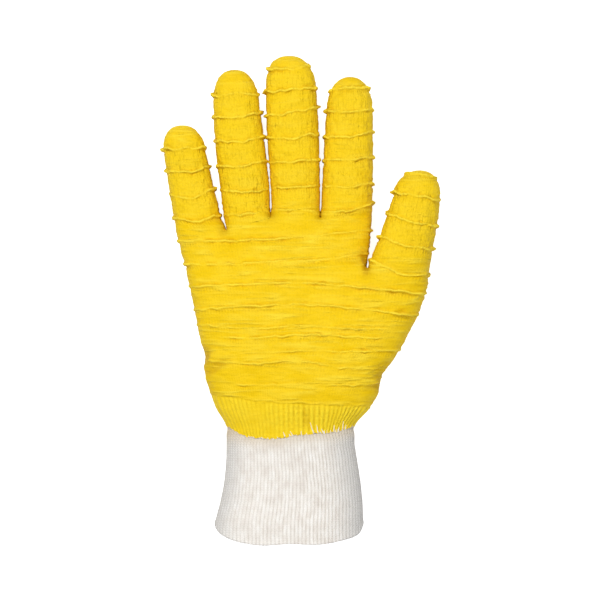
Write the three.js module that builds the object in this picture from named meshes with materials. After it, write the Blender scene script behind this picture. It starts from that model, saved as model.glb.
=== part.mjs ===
// A work glove for the right hand, lying on its back: a hand of knitted fabric under a crinkled latex coat,
// and a rib-knit wrist whose top is dipped in the same coat.
// Millimetres. X runs across the palm towards the thumb, Y from the wrist to the fingertips, and Z up out of
// the palm. The back of the hand rests on Z = 0.
import * as THREE from "three";

// Walls and clearance
const SHELL_WALL = 2.2; // liner and coat together
const COAT_SKIN = 1.4; // the coat alone, where it covers the top of the knit wrist
const KNIT_WALL = 2.2;
const SEAM_GAP = 0.3; // between the coat and the knit wrist

// Facets round the glove
const FINGER_COLUMNS = 5; // across the front of a finger, and across its back
const THUMB_COLUMNS = 6;
const SIDE_COLUMNS = 3; // down each side, and through the web between two fingers

// How sections are rounded
const FINGER_POWER = 2.4;
const BACK_POWER = 3.0; // the back of the hand lies flatter than the palm
const FINGER_CORNER = Math.PI * 0.19; // angle from the side of a finger to the edge of its front
const HAND_CORNER = 0.93; // share of the hand's half width at which its side begins
const PRESS = 1.4; // how far the back of the hand is pressed flat by the surface it lies on

// Ridges of the crinkled coat
const RIDGE_HALF_WIDTH = 1.3;
const RIDGE_FRONT = 1.0;

// Webs and roots
const WEB_DIP = 1.4; // the front and back ends of a web lie this much lower than its middle
const WEB_DEPTH = 1.8; // walls' worth of height between a web's outer and inner surfaces
const ROOT_BLEND = 7; // length over which a finger takes its own section

// The hand between the coat's lower edge and the root of the thumb. Split is the line where the thumb begins,
// and power is how square the front is.
const HAND = [
  { y: -76, left: -39.3, right: 28.9, low: 0, high: 31, split: 13, lift: 0, hollow: 0, power: 2.5 },
  { y: -68, left: -41.5, right: 31.3, low: 0, high: 32, split: 15, lift: 0, hollow: 0, power: 2.5 },
  { y: -59, left: -45.7, right: 37.9, low: 0, high: 35, split: 18, lift: 0, hollow: 0.3, power: 2.5 },
  { y: -50, left: -49.0, right: 43.4, low: 0, high: 37, split: 21, lift: 0, hollow: 0.8, power: 2.5 },
  { y: -37, left: -53.0, right: 48.6, low: 0, high: 38, split: 25, lift: 1, hollow: 1.6, power: 2.6 },
  { y: -24, left: -54.2, right: 56.0, low: 0, high: 38, split: 30, lift: 2, hollow: 2.2, power: 2.6 },
  { y: -10, left: -56.5, right: 63.2, low: 0, high: 37, split: 34, lift: 4, hollow: 2.4, power: 2.7 },
  { y: 2, left: -59.0, right: 67.8, low: 0, high: 36, split: 36, lift: 6, hollow: 2.2, power: 2.8 },
  { y: 14, left: -61.7, right: 70.3, low: 0, high: 34, split: 36.6, lift: 8, hollow: 1.4, power: 2.9 },
];

// The hand from the root of the thumb to the roots of the fingers.
const KNUCKLES = [
  { y: 10, left: -60.8, right: 36.6, low: 0, high: 33, lift: 4.6, hollow: 1.2, power: 2.9 },
  { y: 22, left: -63.6, right: 37.1, low: 0, high: 31, lift: 2.4, hollow: 0.8, power: 3.1 },
  { y: 34, left: -66.8, right: 38.2, low: 0, high: 28.6, lift: 0.8, hollow: 0.2, power: 3.3 },
  { y: 48, left: -69.4, right: 39.6, low: 0, high: 27, lift: 0, hollow: 0, power: 3.5 },
];

// Fingers and thumb. The dome is the rounded end, from its first full section to the tip.
const FINGERS = [
  {
    name: "little",
    sections: [
      { y: 38, left: -68.0, right: -41.6, low: 0.6, high: 25.0 },
      { y: 54, left: -70.4, right: -45.3, low: 0.9, high: 23.4 },
      { y: 67, left: -72.4, right: -48.5, low: 2.2, high: 22.6 },
      { y: 82, left: -74.7, right: -51.9, low: 4.4, high: 23.4 },
    ],
    dome: { start: 81, tip: 95.3, x: -64.2, z: 15.2, power: 2.3 },
  },
  {
    name: "ring",
    sections: [
      { y: 44, left: -41.3, right: -16.4, low: 0.4, high: 26.6 },
      { y: 60, left: -43.4, right: -16.7, low: 0.8, high: 25.4 },
      { y: 76, left: -45.4, right: -18.3, low: 2.0, high: 24.6 },
      { y: 92, left: -46.7, right: -20.2, low: 4.2, high: 24.8 },
      { y: 107, left: -47.3, right: -22.4, low: 6.8, high: 25.8 },
    ],
    dome: { start: 106, tip: 125.5, x: -35.6, z: 17.4, power: 2.3 },
  },
  {
    name: "middle",
    sections: [
      { y: 46, left: -15.3, right: 10.8, low: 0.4, high: 27.4 },
      { y: 60, left: -15.8, right: 10.9, low: 0.8, high: 26.2 },
      { y: 76, left: -16.9, right: 10.6, low: 2.0, high: 25.4 },
      { y: 95, left: -18.2, right: 10.0, low: 4.6, high: 25.6 },
      { y: 114, left: -18.6, right: 8.9, low: 7.6, high: 26.8 },
    ],
    dome: { start: 113, tip: 133.1, x: -5.9, z: 18.4, power: 2.4 },
  },
  {
    name: "index",
    sections: [
      { y: 44, left: 11.5, right: 39.3, low: 0.4, high: 27.0 },
      { y: 60, left: 12.0, right: 39.6, low: 0.8, high: 26.0 },
      { y: 76, left: 12.9, right: 39.8, low: 2.0, high: 25.2 },
      { y: 90, left: 13.5, right: 39.8, low: 3.8, high: 25.2 },
      { y: 103, left: 14.5, right: 39.6, low: 5.8, high: 25.8 },
    ],
    dome: { start: 102, tip: 121.7, x: 27.3, z: 17.0, power: 2.2 },
  },
];

const THUMB = {
  name: "thumb",
  sections: [
    { y: 8, left: 36.6, right: 69.0, low: 7.0, high: 39.5 },
    { y: 18, left: 37.2, right: 70.5, low: 8.6, high: 39.6 },
    { y: 25, left: 39.6, right: 71.7, low: 10.0, high: 39.5 },
    { y: 33, left: 42.8, right: 73.0, low: 12.0, high: 39.2 },
    { y: 45, left: 46.8, right: 75.2, low: 14.6, high: 39.2 },
    { y: 56, left: 50.6, right: 76.0, low: 17.2, high: 39.4 },
  ],
  dome: { start: 56, tip: 71.0, x: 64.0, z: 29.2, power: 2.6 },
};

// Ridges from the wrist up to the root of the thumb: heights of the line at five stations from the little
// finger's side to the thumb's side, the stretch that it covers, and how far it stands out at the two sides.
const HAND_RIDGES = [
  { at: [-46, -46, -46, -46, -45.5], from: 0.1, to: 1, left: 0.3, right: 0.7 },
  { at: [-33, -34.6, -33, -36.8, -35.6], from: 0, to: 0.9, left: 0.5, right: 0.5 },
  { at: [-26.6, -28.6, -27.6, -27.9, -27], from: 0.3, to: 1, left: 0.3, right: 0.9 },
  { at: [-20, -20.5, -18.8, -20.1, -20.6], from: 0.06, to: 0.95, left: 0.3, right: 0.5 },
  { at: [-13.4, -15.4, -14.1, -15.7, -15.4], from: 0, to: 0.95, left: 0.6, right: 0.7 },
  { at: [-4.9, -3.3, -2.6, -5.2, -8], from: 0, to: 1, left: 0.9, right: 1.2 },
  { at: [7.4, 8.4, 9.2, 6.5, 3.6], from: 0, to: 1, left: 0.7, right: 1.2 },
];

// The same above the thumb, up to the roots of the fingers.
const KNUCKLE_RIDGES = [
  { at: [19.6, 19.2, 21.1, 21.6, 25.2], from: 0, to: 1, left: 1.0, right: 0.5 },
  { at: [32.2, 32, 33.2, 35.2, 37.8], from: 0, to: 1, left: 0.9, right: 0.9 },
];

// Ridges round each finger: heights of the line at its left side, middle and right side, and how far the
// ridge stands out at the two sides. Where a neighbour is close, that is very little.
const FINGER_RIDGES = {
  little: [
    { at: [44.7, 42.6, 46.4], left: 1.2, right: 1.0 },
    { at: [57.6, 55.5, 60.4], left: 1.4, right: 1.4 },
    { at: [70.1, 69.6, 72.6], left: 1.2, right: 1.5 },
    { at: [81.8, 82.6, 83.2], left: 1.6, right: 1.2 },
  ],
  ring: [
    { at: [46.0, 46.4, 48.2], left: 0.6, right: 0.1 },
    { at: [59.7, 58.7, 61.0], left: 0.7, right: 0.2 },
    { at: [72.9, 72.6, 75.8], left: 1.0, right: 0.7 },
    { at: [86.4, 86.0, 88.8], left: 1.4, right: 1.4 },
    { at: [100.0, 99.4, 102.0], left: 1.4, right: 1.7 },
    { at: [111.4, 112.0, 111.8], left: 1.7, right: 0.9 },
  ],
  middle: [
    { at: [48.4, 49.2, 48.8], left: 0.1, right: 0.1 },
    { at: [61.0, 61.2, 62.5], left: 0.2, right: 0.3 },
    { at: [75.0, 74.6, 76.4], left: 0.7, right: 0.8 },
    { at: [88.2, 87.8, 90.6], left: 1.2, right: 1.2 },
    { at: [100.3, 101.8, 104.8], left: 1.2, right: 1.5 },
    { at: [113.5, 114.6, 115.2], left: 1.5, right: 1.2 },
    { at: [125.6, 125.4, 127.4], left: 1.2, right: 1.2 },
  ],
  index: [
    { at: [48.6, 48.2, 52.4], left: 0.1, right: 1.5 },
    { at: [62.8, 61.5, 63.6], left: 0.3, right: 0.9 },
    { at: [76.4, 76.0, 77.8], left: 0.9, right: 1.0 },
    { at: [88.8, 88.6, 91.6], left: 1.3, right: 1.1 },
    { at: [102.8, 102.0, 103.6], left: 1.5, right: 0.8 },
    { at: [114.2, 115.0, 114.6], left: 1.4, right: 1.3 },
  ],
  thumb: [
    { at: [21.6, 15.4, 14.0], left: 1.0, right: 1.2 },
    { at: [34.1, 29.8, 27.8], left: 1.4, right: 1.5 },
    { at: [46.7, 42.2, 40.2], left: 1.5, right: 1.5 },
    { at: [58.4, 56.6, 54.0], left: 1.7, right: 0.8 },
  ],
};

// Lines across the hand, at five stations from the little finger's side to the thumb's side
const COAT_EDGE = [-70.2, -74.0, -74.6, -72.4, -68.2];
const COAT_EDGE_BACK = -72.5; // its height in the middle of the back
const SEAM = [-50.4, -53.6, -55.4, -56.2, -56.6]; // where the knit wrist is sewn to the hand
const THUMB_ROOT = [14.4, 15, 15, 16.4, 9.4];
const FINGER_ROOT = [38.4, 37.2, 44.4, 44.4, 43.4];
const FINGER_WEBS = [-41.2, -16.2, 11.1]; // where the webs between the four fingers lie across the hand
const FINGER_WEB_HEIGHTS = [37.6, 46.2, 45.4];

// The knit wrist below the coat, down to its hem
const WRIST = [
  { y: -134, left: -46.4, right: 34.2, low: 0, high: 31 },
  { y: -122, left: -46.4, right: 34.4, low: 0, high: 31 },
  { y: -111, left: -43.7, right: 34.1, low: 0, high: 30 },
  { y: -100, left: -41.5, right: 33.0, low: 0, high: 29.5 },
  { y: -88, left: -40.3, right: 31.2, low: 0, high: 29.5 },
  { y: -79, left: -40.1, right: 29.7, low: 0, high: 30 },
];
const HEM = [-122.4, -130.4, -132.3, -132.7, -132.4, -131.9, -131.6, -130.0, -122.4];
const HEM_BACK = -129; // its height in the middle of the back
const TUCK = 4.5; // length over which the wrist narrows to pass under the coat

const COLOURS = {
  coat: { color: 0xf7cf12, roughness: 0.55, metalness: 0 },
  knit: { color: 0xeee6da, roughness: 0.95, metalness: 0 },
};

const clamp = (value, low, high) => Math.min(high, Math.max(low, value));
const mix = (a, b, share) => a + (b - a) * share;
const ease = (share) => {
  const s = clamp(share, 0, 1);
  return s * s * (3 - 2 * s);
};

// A smooth curve through evenly spaced values, read at a share of its length.
function along(values, share) {
  const spans = values.length - 1;
  const place = clamp(share, 0, 1) * spans;
  const i = Math.min(spans - 1, Math.floor(place));
  const t = place - i;
  const slope = (k) => (values[Math.min(spans, k + 1)] - values[Math.max(0, k - 1)]) / 2;
  return hermite(values[i], values[i + 1], slope(i), slope(i + 1), t);
}

function hermite(a, b, slopeA, slopeB, t) {
  const u = 1 - t;
  return (1 + 2 * t) * u * u * a + t * u * u * slopeA + t * t * (3 - 2 * t) * b - t * t * u * slopeB;
}

// The row of a section table at a height, with every column read off a smooth curve.
function sectionAt(table, y) {
  const last = table.length - 1;
  const height = clamp(y, table[0].y, table[last].y);
  const i = Math.max(0, Math.min(last - 1, table.findLastIndex((row) => row.y <= height)));
  const [a, b] = [table[i], table[i + 1]];
  const step = b.y - a.y;
  const [before, after] = [table[Math.max(0, i - 1)], table[Math.min(last, i + 2)]];
  const section = {};
  for (const key of Object.keys(a)) {
    const slopeA = ((b[key] - before[key]) / (b.y - before.y)) * step;
    const slopeB = ((after[key] - a[key]) / (after.y - a.y)) * step;
    section[key] = hermite(a[key], b[key], slopeA, slopeB, (height - a.y) / step);
  }
  section.y = y;
  return section;
}

// A finger's section, drawn in towards the tip over its dome. Inset is the depth below the outer surface.
function fingerSection(finger, y, inset) {
  const { dome } = finger;
  const tip = dome.tip - inset;
  const start = dome.start - inset;
  const s = sectionAt(finger.sections, Math.min(y, start));
  const share = clamp((y - start) / (tip - start), 0, 1);
  const fullness = Math.pow(1 - Math.pow(share, dome.power), 1 / dome.power);
  const shift = ease(share);
  const middle = mix((s.left + s.right) / 2, dome.x, shift);
  const height = mix((s.low + s.high) / 2, dome.z, shift);
  const halfWidth = ((s.right - s.left) / 2 - inset) * fullness;
  const halfHeight = ((s.high - s.low) / 2 - inset) * fullness;
  return {
    left: middle - halfWidth,
    right: middle + halfWidth,
    low: height - halfHeight,
    high: height + halfHeight,
    lift: 0,
    hollow: 0,
  };
}

function handSection(table, y, inset) {
  const s = sectionAt(table, y);
  const draw = { left: inset, right: -inset, low: inset, high: -inset };
  for (const [key, step] of Object.entries(draw)) s[key] += step;
  return s;
}

// A point of a section: across runs from -1 at the left side to 1 at the right, and up from -1 at the back
// to 1 at the front. The back of the hand is pressed flat at the section's lowest height.
function sectionPoint(s, across, up, press) {
  const half = (s.right - s.left) / 2;
  const centre = mix(s.low, s.high, 0.46);
  const depth = up > 0 ? s.high - centre : centre - s.low + press;
  const lift = (s.lift || 0) * ease((across + 0.1) / 1.1);
  const dip = up > 0 ? (s.hollow || 0) * Math.pow(clamp(1 - Math.pow(across / 0.75, 2), 0, 1), 2) : 0;
  const z = Math.max(centre + up * depth - dip, s.low) + lift;
  const tiltX = Math.sign(across) * Math.pow(Math.abs(across), 1.5) / half;
  const tiltZ = Math.sign(up) * Math.pow(Math.abs(up), 1.5) / depth;
  const size = Math.hypot(tiltX, tiltZ) || 1;
  return { x: (s.left + s.right) / 2 + across * half, z, outX: tiltX / size, outZ: tiltZ / size, floor: s.low };
}

// The places round a section, in the order front, right side, back, left side. Each has the share of the
// width, counted from the left, and what sectionPoint needs. The front is given as shares from -1 to 1.
function placesRound(front, corner, power, backPower) {
  const places = [];
  const last = front.length - 1;
  const rise = (across, n) => Math.pow(Math.max(0, 1 - Math.pow(Math.abs(across), n)), 1 / n);
  front.forEach((across) => places.push({ face: "front", across, up: rise(across, power) }));
  const side = (sign) => {
    for (let k = 1; k < SIDE_COLUMNS; k++) {
      const angle = mix(corner, -corner, k / SIDE_COLUMNS);
      const across = sign * Math.pow(Math.cos(angle), 2 / power);
      const up = Math.sign(angle) * Math.pow(Math.abs(Math.sin(angle)), 2 / (angle > 0 ? power : backPower));
      places.push({ face: sign > 0 ? "right" : "left", across, up });
    }
  };
  side(1);
  for (let i = last; i >= 0; i--) {
    places.push({ face: "back", across: front[i], up: -rise(front[i], backPower) });
  }
  const before = places.length;
  side(-1);
  places.splice(before, SIDE_COLUMNS - 1, ...places.slice(before).reverse());
  places.forEach((p) => (p.share = (p.across + 1) / 2));
  return places;
}

function fingerPlaces(columns) {
  const edge = Math.pow(Math.cos(FINGER_CORNER), 2 / FINGER_POWER);
  const front = [];
  for (let i = 0; i <= columns; i++) {
    const angle = mix(Math.PI - FINGER_CORNER, FINGER_CORNER, i / columns);
    const share = Math.sign(Math.cos(angle)) * Math.pow(Math.abs(Math.cos(angle)), 2 / FINGER_POWER);
    front.push(clamp(share, -edge, edge));
  }
  return placesRound(front, FINGER_CORNER, FINGER_POWER, FINGER_POWER);
}

// The hand's places, with a column at each web. Fingers has how many columns each finger takes.
function handPlaces(section, webs, columns) {
  const toShare = (x) => ((x - section.left) / (section.right - section.left)) * 2 - 1;
  const stops = [-HAND_CORNER, ...webs.map(toShare), HAND_CORNER];
  const front = [stops[0]];
  columns.forEach((count, i) => {
    for (let k = 1; k <= count; k++) front.push(mix(stops[i], stops[i + 1], k / count));
  });
  const corner = Math.acos(Math.pow(HAND_CORNER, section.power / 2));
  return placesRound(front, corner, section.power, BACK_POWER);
}

// The webs' shares of the way from the hand's left side to the thumb's root line
const WEB_SHARES = FINGER_WEBS.map((x) => {
  const s = sectionAt(KNUCKLES, KNUCKLES.at(-1).y);
  return (x - s.left) / (s.right - s.left);
});

function wholeHandPlaces(y) {
  const s = sectionAt(HAND, y);
  const webs = [...WEB_SHARES.map((share) => mix(s.left, s.split, share)), s.split];
  return handPlaces(s, webs, [...FINGERS.map(() => FINGER_COLUMNS), THUMB_COLUMNS]);
}

function knucklePlaces(y) {
  const s = sectionAt(KNUCKLES, y);
  const webs = WEB_SHARES.map((share) => mix(s.left, s.right, share));
  return handPlaces(s, webs, FINGERS.map(() => FINGER_COLUMNS));
}

// The height of a line round the glove at one place: its stations run across the front, and the back bows
// by the given amount, or takes the given height in its middle.
function lineHeight(stations, place, bow = 0) {
  if (place.face !== "back") return along(stations, place.share);
  const level = mix(stations[0], stations.at(-1), place.share);
  return level + bow * Math.sin(Math.PI * place.share);
}

// How far a ridge stands out at one place.
function ridgeHeight(ridge, place) {
  const shoulder = Math.abs(place.across) ** 4;
  const side = place.across < 0 ? ridge.left : ridge.right;
  const start = ridge.from ?? 0;
  const end = ridge.to ?? 1;
  const fadeIn = start > 0 ? ease((place.share - start) / 0.12) : 1;
  const fadeOut = end < 1 ? ease((end - place.share) / 0.12) : 1;
  return mix(RIDGE_FRONT, side, shoulder) * fadeIn * fadeOut;
}

// One closed surface, gathered from rings whose points are shared where pieces meet.
class Surface {
  constructor() {
    this.index = new Map();
    this.positions = [];
    this.faces = [];
  }

  vertex(point) {
    if (!this.index.has(point)) {
      this.index.set(point, this.index.size);
      this.positions.push(point.x, point.y, point.z);
    }
    return this.index.get(point);
  }

  triangle(a, b, c) {
    this.faces.push(this.vertex(a), this.vertex(b), this.vertex(c));
  }

  band(lower, upper, inwards) {
    lower.forEach((a, i) => {
      const b = lower[(i + 1) % lower.length];
      const c = upper[(i + 1) % lower.length];
      const d = upper[i];
      if (inwards) {
        this.triangle(a, c, b);
        this.triangle(a, d, c);
      } else {
        this.triangle(a, b, c);
        this.triangle(a, c, d);
      }
    });
  }

  close(ring, tip, inwards) {
    ring.forEach((a, i) => {
      const b = ring[(i + 1) % ring.length];
      if (inwards) this.triangle(a, tip, b);
      else this.triangle(a, b, tip);
    });
  }

  geometry() {
    const made = new THREE.BufferGeometry();
    made.setAttribute("position", new THREE.Float32BufferAttribute(this.positions, 3));
    made.setIndex(this.faces);
    made.computeVertexNormals();
    return made;
  }
}

// A ring at the given heights. The section and the places may change with height.
function ringAt(heights, sectionOf, placesOf, bumpOf, press) {
  return heights.map((y, i) => {
    const place = placesOf(y)[i];
    const p = sectionPoint(sectionOf(y, i), place.across, place.up, press);
    const bump = bumpOf(place);
    return { x: p.x + p.outX * bump, y, z: Math.max(p.z + p.outZ * bump, p.floor) };
  });
}

// Heights of the rows from one line to the next, with three rows for each ridge.
function rowsThrough(first, ridges, last, spacing, places) {
  const rows = [];
  let below = first;
  const fill = (to) => {
    const gap = to[0] - below[0];
    const steps = Math.max(1, Math.round(gap / spacing));
    for (let k = 1; k < steps; k++) {
      rows.push({ heights: below.map((y, i) => mix(y, to[i], k / steps)), ridge: null });
    }
  };
  for (const ridge of ridges) {
    const crest = places.map((place) => lineHeight(ridge.at, place, ridge.bow));
    const foot = crest.map((y, i) => Math.max(y - RIDGE_HALF_WIDTH, mix(below[i], y, 0.35)));
    fill(foot);
    rows.push({ heights: foot, ridge: null });
    rows.push({ heights: crest, ridge });
    below = crest.map((y) => y + RIDGE_HALF_WIDTH);
    rows.push({ heights: below, ridge: null });
  }
  fill(last);
  rows.push({ heights: last, ridge: null });
  return rows;
}

// Splits a ring into its front, right side, back and left side, each with both of its corners.
function faces(ring, columns) {
  const backStart = columns + SIDE_COLUMNS;
  const backEnd = backStart + columns;
  return {
    front: ring.slice(0, columns + 1),
    right: ring.slice(columns, backStart + 1),
    back: ring.slice(backStart, backEnd + 1).reverse(),
    left: [ring[0], ...ring.slice(backEnd).reverse()],
  };
}

// The points through a web, from its front end to its back end. Its middle stands highest.
function web(front, back, rise) {
  const points = [front];
  for (let k = 1; k < SIDE_COLUMNS; k++) {
    const t = k / SIDE_COLUMNS;
    const y = mix(front.y, back.y, t) + rise * Math.sin(Math.PI * t);
    points.push({ x: mix(front.x, back.x, t), y, z: mix(front.z, back.z, t) });
  }
  return [...points, back];
}

// The rings in which branches begin, cut from the top ring of their trunk at the webs' columns.
function branchRoots(ring, total, counts) {
  const f = faces(ring, total);
  let column = 0;
  let left = f.left;
  return counts.map((count) => {
    const end = column + count;
    const right = end === total ? f.right : web(f.front[end], f.back[end], WEB_DIP);
    const root = [
      ...f.front.slice(column, end + 1),
      ...right.slice(1, -1),
      ...f.back.slice(column, end + 1).reverse(),
      ...left.slice(1, -1).reverse(),
    ];
    column = end;
    left = right;
    return root;
  });
}

// Adds the rows of a branch, which leaves its root's section for its own over the given length.
function addRows(surface, root, rows, sectionOf, placesOf, press, blend, inwards) {
  let below = root;
  for (const row of rows) {
    const bumpOf = row.ridge ? (place) => ridgeHeight(row.ridge, place) : () => 0;
    const own = ringAt(row.heights, sectionOf, placesOf, bumpOf, press);
    const ring = own.map((p, i) => {
      const share = blend ? ease((p.y - root[i].y) / blend) : 1;
      return { x: mix(root[i].x, p.x, share), y: p.y, z: mix(root[i].z, p.z, share) };
    });
    surface.band(below, ring, inwards);
    below = ring;
  }
  return below;
}

// Plain rows over the length in which a branch leaves its root.
function blendRows(heights) {
  return [0.5, 1].map((share) => ({ heights: heights.map((y) => y + ROOT_BLEND * share), ridge: null }));
}

function addFinger(surface, finger, root, columns, inset, inwards) {
  const places = fingerPlaces(columns);
  const { dome } = finger;
  const tip = dome.tip - inset;
  const length = tip - dome.start + inset;
  const top = inset ? dome.start - inset : Math.max(...FINGER_RIDGES[finger.name].at(-1).at) + 2;
  const heights = root.map((p) => p.y);
  const ridges = inset ? [] : FINGER_RIDGES[finger.name].map((r) => ({ ...r, bow: -1.2 }));
  const blended = heights.map((y) => y + ROOT_BLEND);
  const rows = rowsThrough(inset ? blended : heights, ridges, places.map(() => top), inset ? 16 : 9, places);
  if (inset) rows.unshift(...blendRows(heights));
  const domeShares = inset ? [0.55, 0.85] : [0.62, 0.82, 0.95];
  for (const share of domeShares) {
    const y = dome.start - inset + length * share;
    if (y > top + 0.8) rows.push({ heights: places.map(() => y), ridge: null });
  }
  const sectionOf = (y) => fingerSection(finger, y, inset);
  const last = addRows(surface, root, rows, sectionOf, () => places, 0, ROOT_BLEND, inwards);
  surface.close(last, { x: dome.x, y: tip, z: dome.z }, inwards);
}

// The hand from the coat's lower edge to the fingertips. An inset gives the inner surface of the wall.
function addHand(surface, inset, inwards) {
  const fingerColumns = FINGERS.map(() => FINGER_COLUMNS);
  const palmColumns = FINGER_COLUMNS * FINGERS.length;
  const allColumns = palmColumns + THUMB_COLUMNS;
  const places = wholeHandPlaces(0);
  const press = PRESS;

  const edge = coatEdge(places);
  const seam = places.map((p) => lineHeight(SEAM, p, -1));
  const thumbRoot = places.map((p) => lineHeight(THUMB_ROOT, p, 1) - inset * WEB_DEPTH);
  let depth = inset ? COAT_SKIN : 0;
  const rim = ringAt(edge, (y) => handSection(HAND, y, depth), wholeHandPlaces, () => 0, press);
  let trunk = rim;
  const add = (rows) => {
    const at = depth;
    trunk = addRows(surface, trunk, rows, (y) => handSection(HAND, y, at), wholeHandPlaces, press, 0, inwards);
  };
  if (inset) {
    const step = seam.map((y) => y + SEAM_GAP);
    add([{ heights: seam.map((y) => y - 8), ridge: null }, { heights: step, ridge: null }]);
    depth = inset;
    add([{ heights: step, ridge: null }]);
    add(rowsThrough(step, [], thumbRoot, 18, places));
  } else {
    const seamRidge = { at: SEAM, bow: -1, left: 0.3, right: 0.4 };
    const ridges = [seamRidge, ...HAND_RIDGES.map((r) => ({ ...r, bow: 0.8 }))];
    add(rowsThrough(edge, ridges, thumbRoot, 9, places));
  }

  const [palmRoot, thumbRing] = branchRoots(trunk, allColumns, [palmColumns, THUMB_COLUMNS]);
  addFinger(surface, THUMB, thumbRing, THUMB_COLUMNS, inset, inwards);

  const knuckles = knucklePlaces(KNUCKLES[0].y);
  const fingerRoot = knuckles.map((p) => {
    const webAt = FINGER_WEBS.findIndex((x, i) => Math.abs(p.share - webShare(i)) < 1e-6);
    const height = webAt < 0 ? lineHeight(FINGER_ROOT, p, 0) : FINGER_WEB_HEIGHTS[webAt] - WEB_DIP;
    return height - inset * WEB_DEPTH;
  });
  const ridges = inset ? [] : KNUCKLE_RIDGES.map((r) => ({ ...r, bow: -0.8 }));
  const start = palmRoot.map((p) => p.y);
  const blended = start.map((y) => y + ROOT_BLEND);
  const rows = rowsThrough(inset ? blended : start, ridges, fingerRoot, inset ? 14 : 9, knuckles);
  if (inset) rows.unshift(...blendRows(start));
  const sectionOf = (y) => handSection(KNUCKLES, y, inset);
  const top = addRows(surface, palmRoot, rows, sectionOf, knucklePlaces, press, ROOT_BLEND, inwards);
  branchRoots(top, palmColumns, fingerColumns).forEach((root, i) => {
    addFinger(surface, FINGERS[i], root, FINGER_COLUMNS, inset, inwards);
  });
  return rim;
}

function coatEdge(places) {
  const bow = COAT_EDGE_BACK - mix(COAT_EDGE[0], COAT_EDGE.at(-1), 0.5);
  return places.map((p) => lineHeight(COAT_EDGE, p, bow));
}

// A web's share of the width in the places of the knuckles
function webShare(i) {
  return knucklePlaces(KNUCKLES[0].y)[FINGER_COLUMNS * (i + 1)].share;
}

function coatedHand() {
  const surface = new Surface();
  const outerRim = addHand(surface, 0, false);
  const innerRim = addHand(surface, SHELL_WALL, true);
  surface.band(innerRim, outerRim, false);
  return surface.geometry();
}

// The knit wrist's section: its own below the coat's edge, and the hand's, under the coat, above.
function wristSection(y, edge, inset) {
  const under = handSection(HAND, y, COAT_SKIN + SEAM_GAP + inset);
  const open = handSection(WRIST, y, inset);
  const share = ease((y - edge + TUCK) / TUCK);
  const section = {};
  for (const key of ["left", "right", "low", "high", "lift", "hollow"]) {
    section[key] = mix(open[key] ?? 0, under[key], share);
  }
  return section;
}

function knitWrist() {
  const surface = new Surface();
  const places = wholeHandPlaces(HAND[0].y);
  const edge = coatEdge(places);
  const seam = places.map((p) => lineHeight(SEAM, p, -1));
  const hem = places.map((p) => lineHeight(HEM, p, HEM_BACK - mix(HEM[0], HEM.at(-1), 0.5)));
  const lines = [
    hem,
    hem.map((y) => y + 3),
    ...[0.25, 0.5, 0.75].map((share) => hem.map((y, i) => mix(y, edge[i], share))),
    edge.map((y) => y - 8),
    edge.map((y) => y - TUCK),
    edge,
    seam.map((y) => y - 8),
    seam,
  ];
  const ring = (line, inset) => {
    return ringAt(line, (y, i) => wristSection(y, edge[i], inset), wholeHandPlaces, () => 0, PRESS);
  };
  const outer = lines.map((line) => ring(line, 0));
  const inner = [0, 3, 5, 6, 7, 8, 9].map((i) => ring(lines[i], KNIT_WALL));
  outer.slice(1).forEach((upper, i) => surface.band(outer[i], upper, false));
  inner.slice(1).forEach((upper, i) => surface.band(inner[i], upper, true));
  surface.band(inner[0], outer[0], false);
  surface.band(outer.at(-1), inner.at(-1), false);
  return surface.geometry();
}

function piece(name, geometry, look) {
  const made = new THREE.Mesh(geometry, new THREE.MeshStandardMaterial(look));
  made.name = name;
  return made;
}

const glove = new THREE.Group();
glove.add(piece("coated_hand", coatedHand(), COLOURS.coat));
glove.add(piece("knit_wrist", knitWrist(), COLOURS.knit));

export default glove;
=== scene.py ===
import math
import random

import bmesh
import bpy
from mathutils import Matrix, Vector, noise
from mathutils.bvhtree import BVHTree


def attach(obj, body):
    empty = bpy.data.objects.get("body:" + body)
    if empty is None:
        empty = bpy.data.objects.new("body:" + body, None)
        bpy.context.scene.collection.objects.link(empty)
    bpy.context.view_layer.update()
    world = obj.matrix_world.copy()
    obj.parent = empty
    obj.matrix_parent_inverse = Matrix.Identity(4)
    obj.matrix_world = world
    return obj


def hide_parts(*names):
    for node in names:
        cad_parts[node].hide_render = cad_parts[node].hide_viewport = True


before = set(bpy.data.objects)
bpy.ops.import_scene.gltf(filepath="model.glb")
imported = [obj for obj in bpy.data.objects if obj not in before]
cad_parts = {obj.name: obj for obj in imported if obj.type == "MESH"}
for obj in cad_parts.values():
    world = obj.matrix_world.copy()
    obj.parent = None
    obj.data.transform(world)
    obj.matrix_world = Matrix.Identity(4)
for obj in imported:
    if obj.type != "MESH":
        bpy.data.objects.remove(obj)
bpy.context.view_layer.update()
random.seed(11)
MM = 0.001

# Walls and clearance, as in the solids
SHELL_WALL = 2.2
COAT_SKIN = 1.4
KNIT_WALL = 2.2
SEAM_GAP = 0.3
COAT_EDGE_SKIN = 0.35  # the coat thins out at its lower edge
THINNEST_SKIN = 0.2

# Facets round the glove
FINGER_COLUMNS = 20
THUMB_COLUMNS = 24
SIDE_COLUMNS = 13
ROW_STEP = 0.82
RIDGE_ROWS = [0.24, 0.5, 0.8, 1.3]  # rows of facets beside a ridge's crest
INNER_STEP = 4.5
INNER_DOME_STEP = 2.4
CAP_START = 2.6  # a fingertip closes from this far above its last ridge
SKIN_SHARES = (0, 0.2, 0.4, 0.6, 0.8, 1)  # rows of the inner face, from the coat's lower edge to the seam
LEDGE = 0.02  # height over which the inner face steps in at the seam
MERGE = 2e-7  # metres within which two vertices are one
LATEX_FACES, LINING_FACES = 0, 1  # the coat's materials

# How sections are rounded
FINGER_POWER = 2.4
BACK_POWER = 3.0
WAIST = 0.46  # where a section is widest, as a share of its height
FINGER_CORNER = math.pi * 0.19
HAND_CORNER = 0.93
PRESS = 1.4  # how far the back of the hand is pressed flat

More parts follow.
